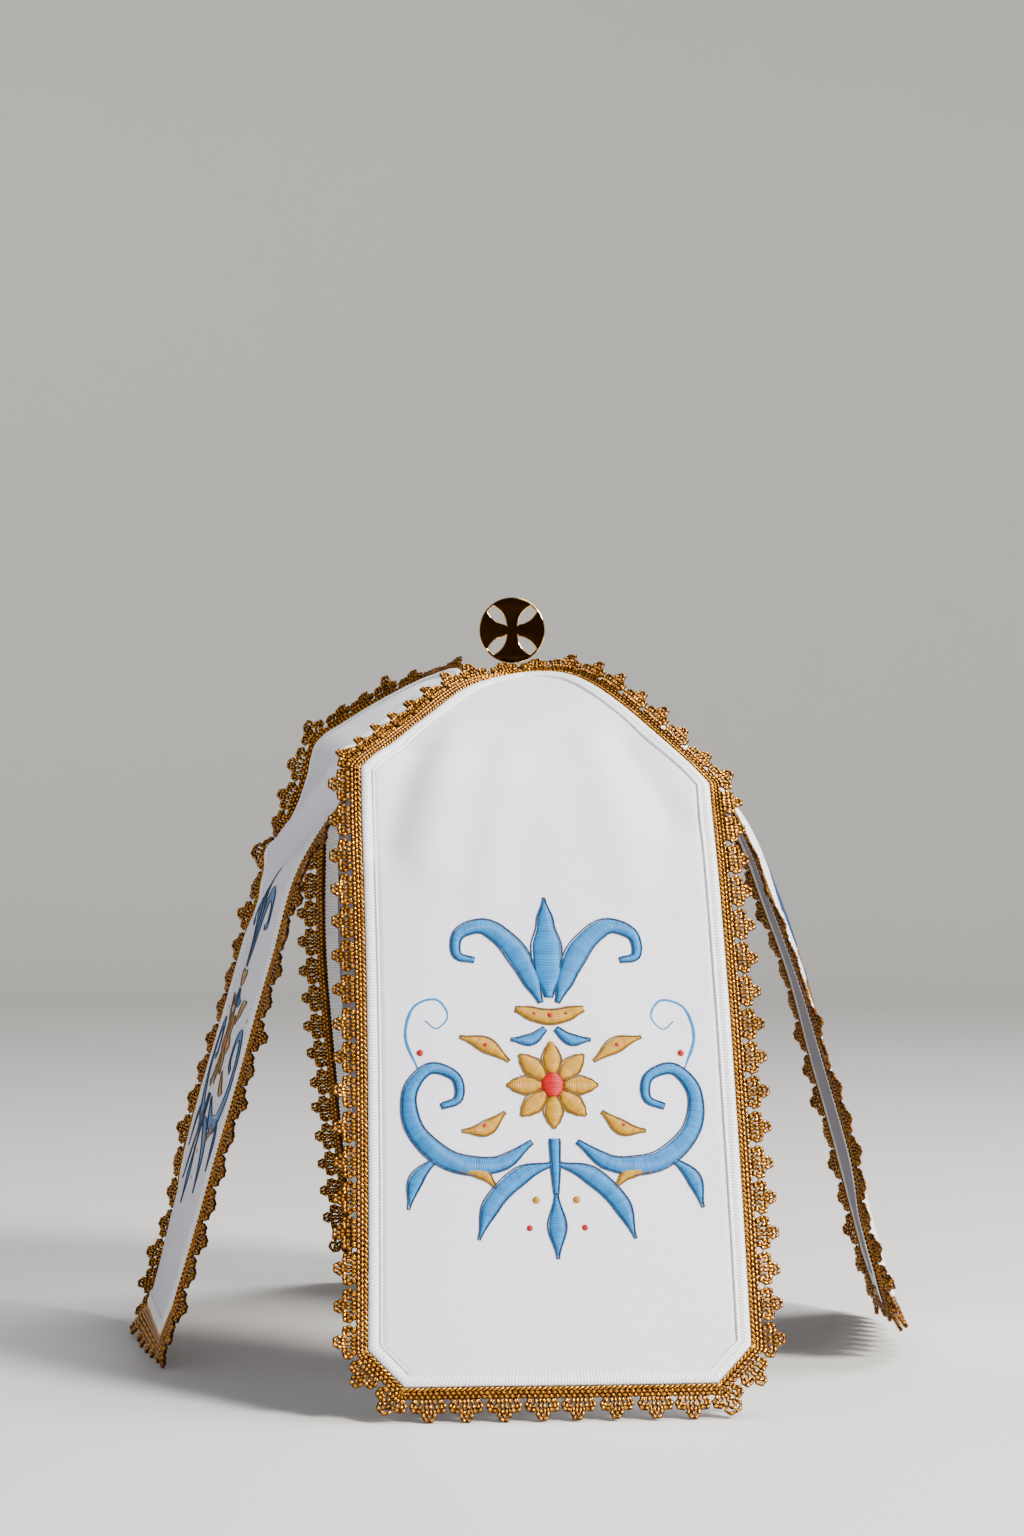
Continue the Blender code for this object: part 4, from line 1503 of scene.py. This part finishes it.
@dataclass
class Finial:
    """The round plate pierced to a cross, and the turned stem with its seat."""

    axis: Vector
    radius: float = 12.8
    thickness: float = 2.2
    height: float = 273.7
    bevel: float = 0.42
    turned: float = -4.0
    rim_segments: int = 96
    # One opening, as shares of the plate's radius: its point, its corner at the rim, and the bulge between
    opening_point: tuple[float, float] = (0.18, 0.155)
    opening_corner: tuple[float, float] = (0.56, 0.735)
    opening_bulge: float = 0.1
    opening_segments: int = 12
    stem_segments: int = 64
    # Radius and height of the turned stem's profile, from its top to the underside of its seat
    stem_profile: tuple[tuple[float, float], ...] = (
        (0.1, 260.75), (1.5, 260.75), (2.2, 260.4), (2.5, 259.7), (2.3, 258.9), (1.9, 258.3), (1.8, 257.6),
        (2.0, 256.6), (2.5, 255.6), (3.4, 254.5), (5.0, 253.6), (21.0, 252.8), (24.0, 250.2), (24.0, 248.6),
        (12.0, 246.5), (0.1, 246.5),
    )

    def outlines(self) -> list[np.ndarray]:
        """The plate's outlines.

        Returns:
            The rim, and the four pointed openings that leave a cross between them.
        """
        angles = np.linspace(0.0, math.tau, self.rim_segments, endpoint=False)
        found = [np.stack([np.cos(angles), np.sin(angles)], axis=1) * (self.radius - self.bevel)]
        point, corner = np.array(self.opening_point), np.array(self.opening_corner)
        chord = corner - point
        side = unit(np.array((-chord[1], chord[0])))
        shares = np.linspace(0.0, 1.0, self.opening_segments)[:, None]
        upper = point + chord * shares + side * (self.opening_bulge * 4.0 * shares * (1.0 - shares))
        lower = upper[:, ::-1]
        reach = float(np.linalg.norm(corner))
        start, end = (math.atan2(spot[1], spot[0]) for spot in (corner, corner[::-1]))
        turns = np.linspace(start, end, 6)[1:-1]
        rim = np.stack([np.cos(turns), np.sin(turns)], axis=1) * reach
        opening = np.vstack([upper, rim, lower[:0:-1]]) * self.radius
        opening = moved_outline(opening, -self.bevel)
        found.extend(opening * flip for flip in ((1, 1), (-1, 1), (-1, -1), (1, -1)))
        return found

    def build_cross(self, finishes: Finishes) -> bpy.types.Object:
        """Makes the pierced plate, with a bright bevel round every edge.

        Args:
            finishes: the materials.

        Returns:
            The plate.
        """
        curve = bpy.data.curves.new("cross_outline", "CURVE")
        curve.dimensions = "2D"
        curve.fill_mode = "BOTH"
        curve.extrude = (self.thickness / 2 - self.bevel) * MM
        curve.bevel_depth = self.bevel * MM
        curve.bevel_resolution = 3
        for outline in self.outlines():
            spline = curve.splines.new("POLY")
            spline.points.add(len(outline) - 1)
            spline.use_cyclic_u = True
            for control, (across, up) in zip(spline.points, outline):
                control.co = (across * MM, up * MM, 0.0, 1.0)
        guide = bpy.data.objects.new("cross_outline", curve)
        bpy.context.scene.collection.objects.link(guide)
        guide.location = (self.axis.x, self.axis.y, self.height * MM)
        guide.rotation_euler = (math.radians(90.0), 0.0, math.radians(self.turned))
        bpy.context.view_layer.update()
        mesh = bpy.data.meshes.new_from_object(guide.evaluated_get(bpy.context.evaluated_depsgraph_get()))
        mesh.transform(guide.matrix_world)
        facing = guide.matrix_world.to_3x3() @ Vector((0.0, 0.0, 1.0))
        bpy.data.objects.remove(guide)
        work = bmesh.new()
        work.from_mesh(mesh)
        bmesh.ops.remove_doubles(work, verts=work.verts[:], dist=0.001 * MM)
        work.to_mesh(mesh)
        work.free()
        mesh.materials.clear()
        mesh.materials.append(finishes.painted_dark_reflection)
        mesh.materials.append(finishes.polished)
        # The plate's flat front and back take the painted dark reflection; the bevels and the openings' walls
        # keep the polished brass.
        for face in mesh.polygons:
            face.material_index = 0 if abs(face.normal.dot(facing)) > 0.98 else 1
            face.use_smooth = True
        mesh.set_sharp_from_angle(angle=math.radians(35.0))
        cross = settle(mesh, "pierced_cross")
        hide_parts("finial_cross")
        return cross

    def build_stem(self, finishes: Finishes) -> bpy.types.Object:
        """Makes the turned stem and its seat.

        Args:
            finishes: the materials.

        Returns:
            The stem.
        """
        profile = np.array(self.stem_profile)
        angles = np.linspace(0.0, math.tau, self.stem_segments, endpoint=False)
        around = np.stack([np.cos(angles), np.sin(angles)], axis=1)
        sections = np.zeros((len(profile), self.stem_segments, 3))
        sections[:, :, :2] = around[None] * profile[:, :1, None] + np.array((self.axis.x, self.axis.y)) / MM
        sections[:, :, 2] = profile[:, 1:]
        sheaf = Sheaf()
        sheaf.sweep(sections, profile[:, 1], np.ones(len(profile)), False)
        stem = sheaf.build("turned_stem", (finishes.polished,), "gilt_brass")
        stem.data.set_sharp_from_angle(angle=math.radians(40.0))
        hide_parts("finial_stem")
        return stem


@dataclass
class PanelSet:
    """One panel with everything sewn to it."""

    panel: Panel
    axis: Vector
    seed: int

    def build(self, finishes: Finishes) -> None:
        """Makes the panel's cloth, border, lace and embroidery.

        Args:
            finishes: the materials.
        """
        drape = Drape(self.panel, self.axis)
        outline = Outline(drape)
        cloth = ClothPanel(drape, outline).build(finishes)
        border = SatinBorder(drape, outline).build(finishes)
        lace = MetalLace(drape, outline, self.seed).build(finishes)
        stitching = Embroidery(drape, fullness=PADDING_SHARE[self.panel.name]).build(finishes)
        inner = outline.moved(-BORDER_WIDTH)


@dataclass
class Studio:
    """The pale floor, the soft lights and the camera."""

    axis: Vector
    distance: float = 1412.7
    eye_height: float = 213.3
    swing: float = 0.087
    tilt_up: float = 0.005
    focal_length: float = 85.48
    long_side: float = 36.0
    floor_radius: float = 2.2
    wall_radius: float = 3.2
    wall_height: float = 1.6

    def build_floor(self) -> None:
        """Makes a wide floor whose far edge curves up on every side."""
        material = bpy.data.materials.new("pale_paper_floor")
        material.use_nodes = True
        shader = material.node_tree.nodes["Principled BSDF"]
        shader.inputs["Base Color"].default_value = srgb("#DAD8D4")
        shader.inputs["Roughness"].default_value = 0.75
        angles = np.linspace(0.0, math.tau, 96, endpoint=False)
        bend = np.radians(np.linspace(0.0, 90.0, 13))
        width = self.wall_radius - self.floor_radius
        rings = [(0.002, 0.0), (self.floor_radius / 2, 0.0)]
        rings += [(self.floor_radius + width * math.sin(turn), width * (1 - math.cos(turn))) for turn in bend]
        rings.append((self.wall_radius, self.wall_height))
        points = [
            (self.axis.x + radius * math.cos(angle), self.axis.y + radius * math.sin(angle), height)
            for radius, height in rings
            for angle in angles
        ]
        count = len(angles)
        faces = [
            (ring * count + side, ring * count + (side + 1) % count,
             (ring + 1) * count + (side + 1) % count, (ring + 1) * count + side)
            for ring in range(len(rings) - 1)
            for side in range(count)
        ]
        faces.append(tuple(range(count - 1, -1, -1)))
        mesh = bpy.data.meshes.new("studio_floor")
        mesh.from_pydata(points, [], faces)
        mesh.polygons.foreach_set("use_smooth", [True] * len(faces))
        mesh.materials.append(material)
        floor = bpy.data.objects.new("studio_floor", mesh)
        bpy.context.scene.collection.objects.link(floor)

    def add_light(
        self, name: str, place: tuple[float, float, float], size: float, watts: float, colour: str
    ) -> None:
        """Adds a square soft light that points at the veil.

        Args:
            name: the light's name.
            place: where it is from the finial's axis, in metres.
            size: its side, in metres.
            watts: its power.
            colour: its sRGB colour.
        """
        light = bpy.data.lights.new(name, "AREA")
        light.shape = "SQUARE"
        light.size = size
        light.energy = watts
        light.color = srgb(colour)[:3]
        lamp = bpy.data.objects.new(name, light)
        lamp.location = Vector((self.axis.x, self.axis.y, 0.0)) + Vector(place)
        aim = Vector((self.axis.x, self.axis.y, 0.12)) - lamp.location
        lamp.rotation_euler = aim.to_track_quat("-Z", "Y").to_euler()
        bpy.context.scene.collection.objects.link(lamp)

    def build(self) -> None:
        """Sets the stage, the lights and the camera."""
        self.build_floor()
        world = bpy.data.worlds.new("studio_air")
        world.use_nodes = True
        world.node_tree.nodes["Background"].inputs["Color"].default_value = srgb("#C9CCD2")
        world.node_tree.nodes["Background"].inputs["Strength"].default_value = 0.38
        bpy.context.scene.world = world
        self.add_light("key_light", (1.25, -1.2, 1.1), 0.5, 100.0, "#FFFCF6")
        self.add_light("fill_light", (-1.1, -1.8, 0.7), 1.0, 7.0, "#DDE1FF")
        self.add_light("top_light", (0.7, 0.2, 1.6), 0.8, 30.0, "#FFFFFF")
        lens = bpy.data.cameras.new("photo_camera")
        lens.lens = self.focal_length
        lens.sensor_width = self.long_side
        camera = bpy.data.objects.new("photo_camera", lens)
        away = self.distance * MM
        camera.location = (
            self.axis.x - away * math.sin(self.swing),
            self.axis.y - away * math.cos(self.swing),
            self.eye_height * MM,
        )
        camera.rotation_euler = (math.pi / 2 + self.tilt_up, 0.0, -self.swing)
        bpy.context.scene.collection.objects.link(camera)
        bpy.context.scene.camera = camera


def main() -> None:
    """Builds the veil's pieces in order, and reports each."""
    logging.basicConfig(level=logging.INFO, format="%(message)s")
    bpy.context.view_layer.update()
    low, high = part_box("finial_stem")
    axis = (low + high) / 2
    Studio(axis).build()
    finishes = Finishes.make()
    for seed, panel in enumerate(PANELS, start=1):
        PanelSet(panel, axis, seed).build(finishes)
    finial = Finial(axis)
    finial.build_cross(finishes)
    finial.build_stem(finishes)


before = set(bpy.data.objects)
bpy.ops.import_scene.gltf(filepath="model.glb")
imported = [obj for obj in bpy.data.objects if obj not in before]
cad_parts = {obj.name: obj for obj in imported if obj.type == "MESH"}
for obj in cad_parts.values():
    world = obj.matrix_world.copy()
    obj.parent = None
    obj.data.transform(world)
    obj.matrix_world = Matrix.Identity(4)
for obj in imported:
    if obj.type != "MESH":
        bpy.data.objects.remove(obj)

if __name__ == "__main__":
    main()
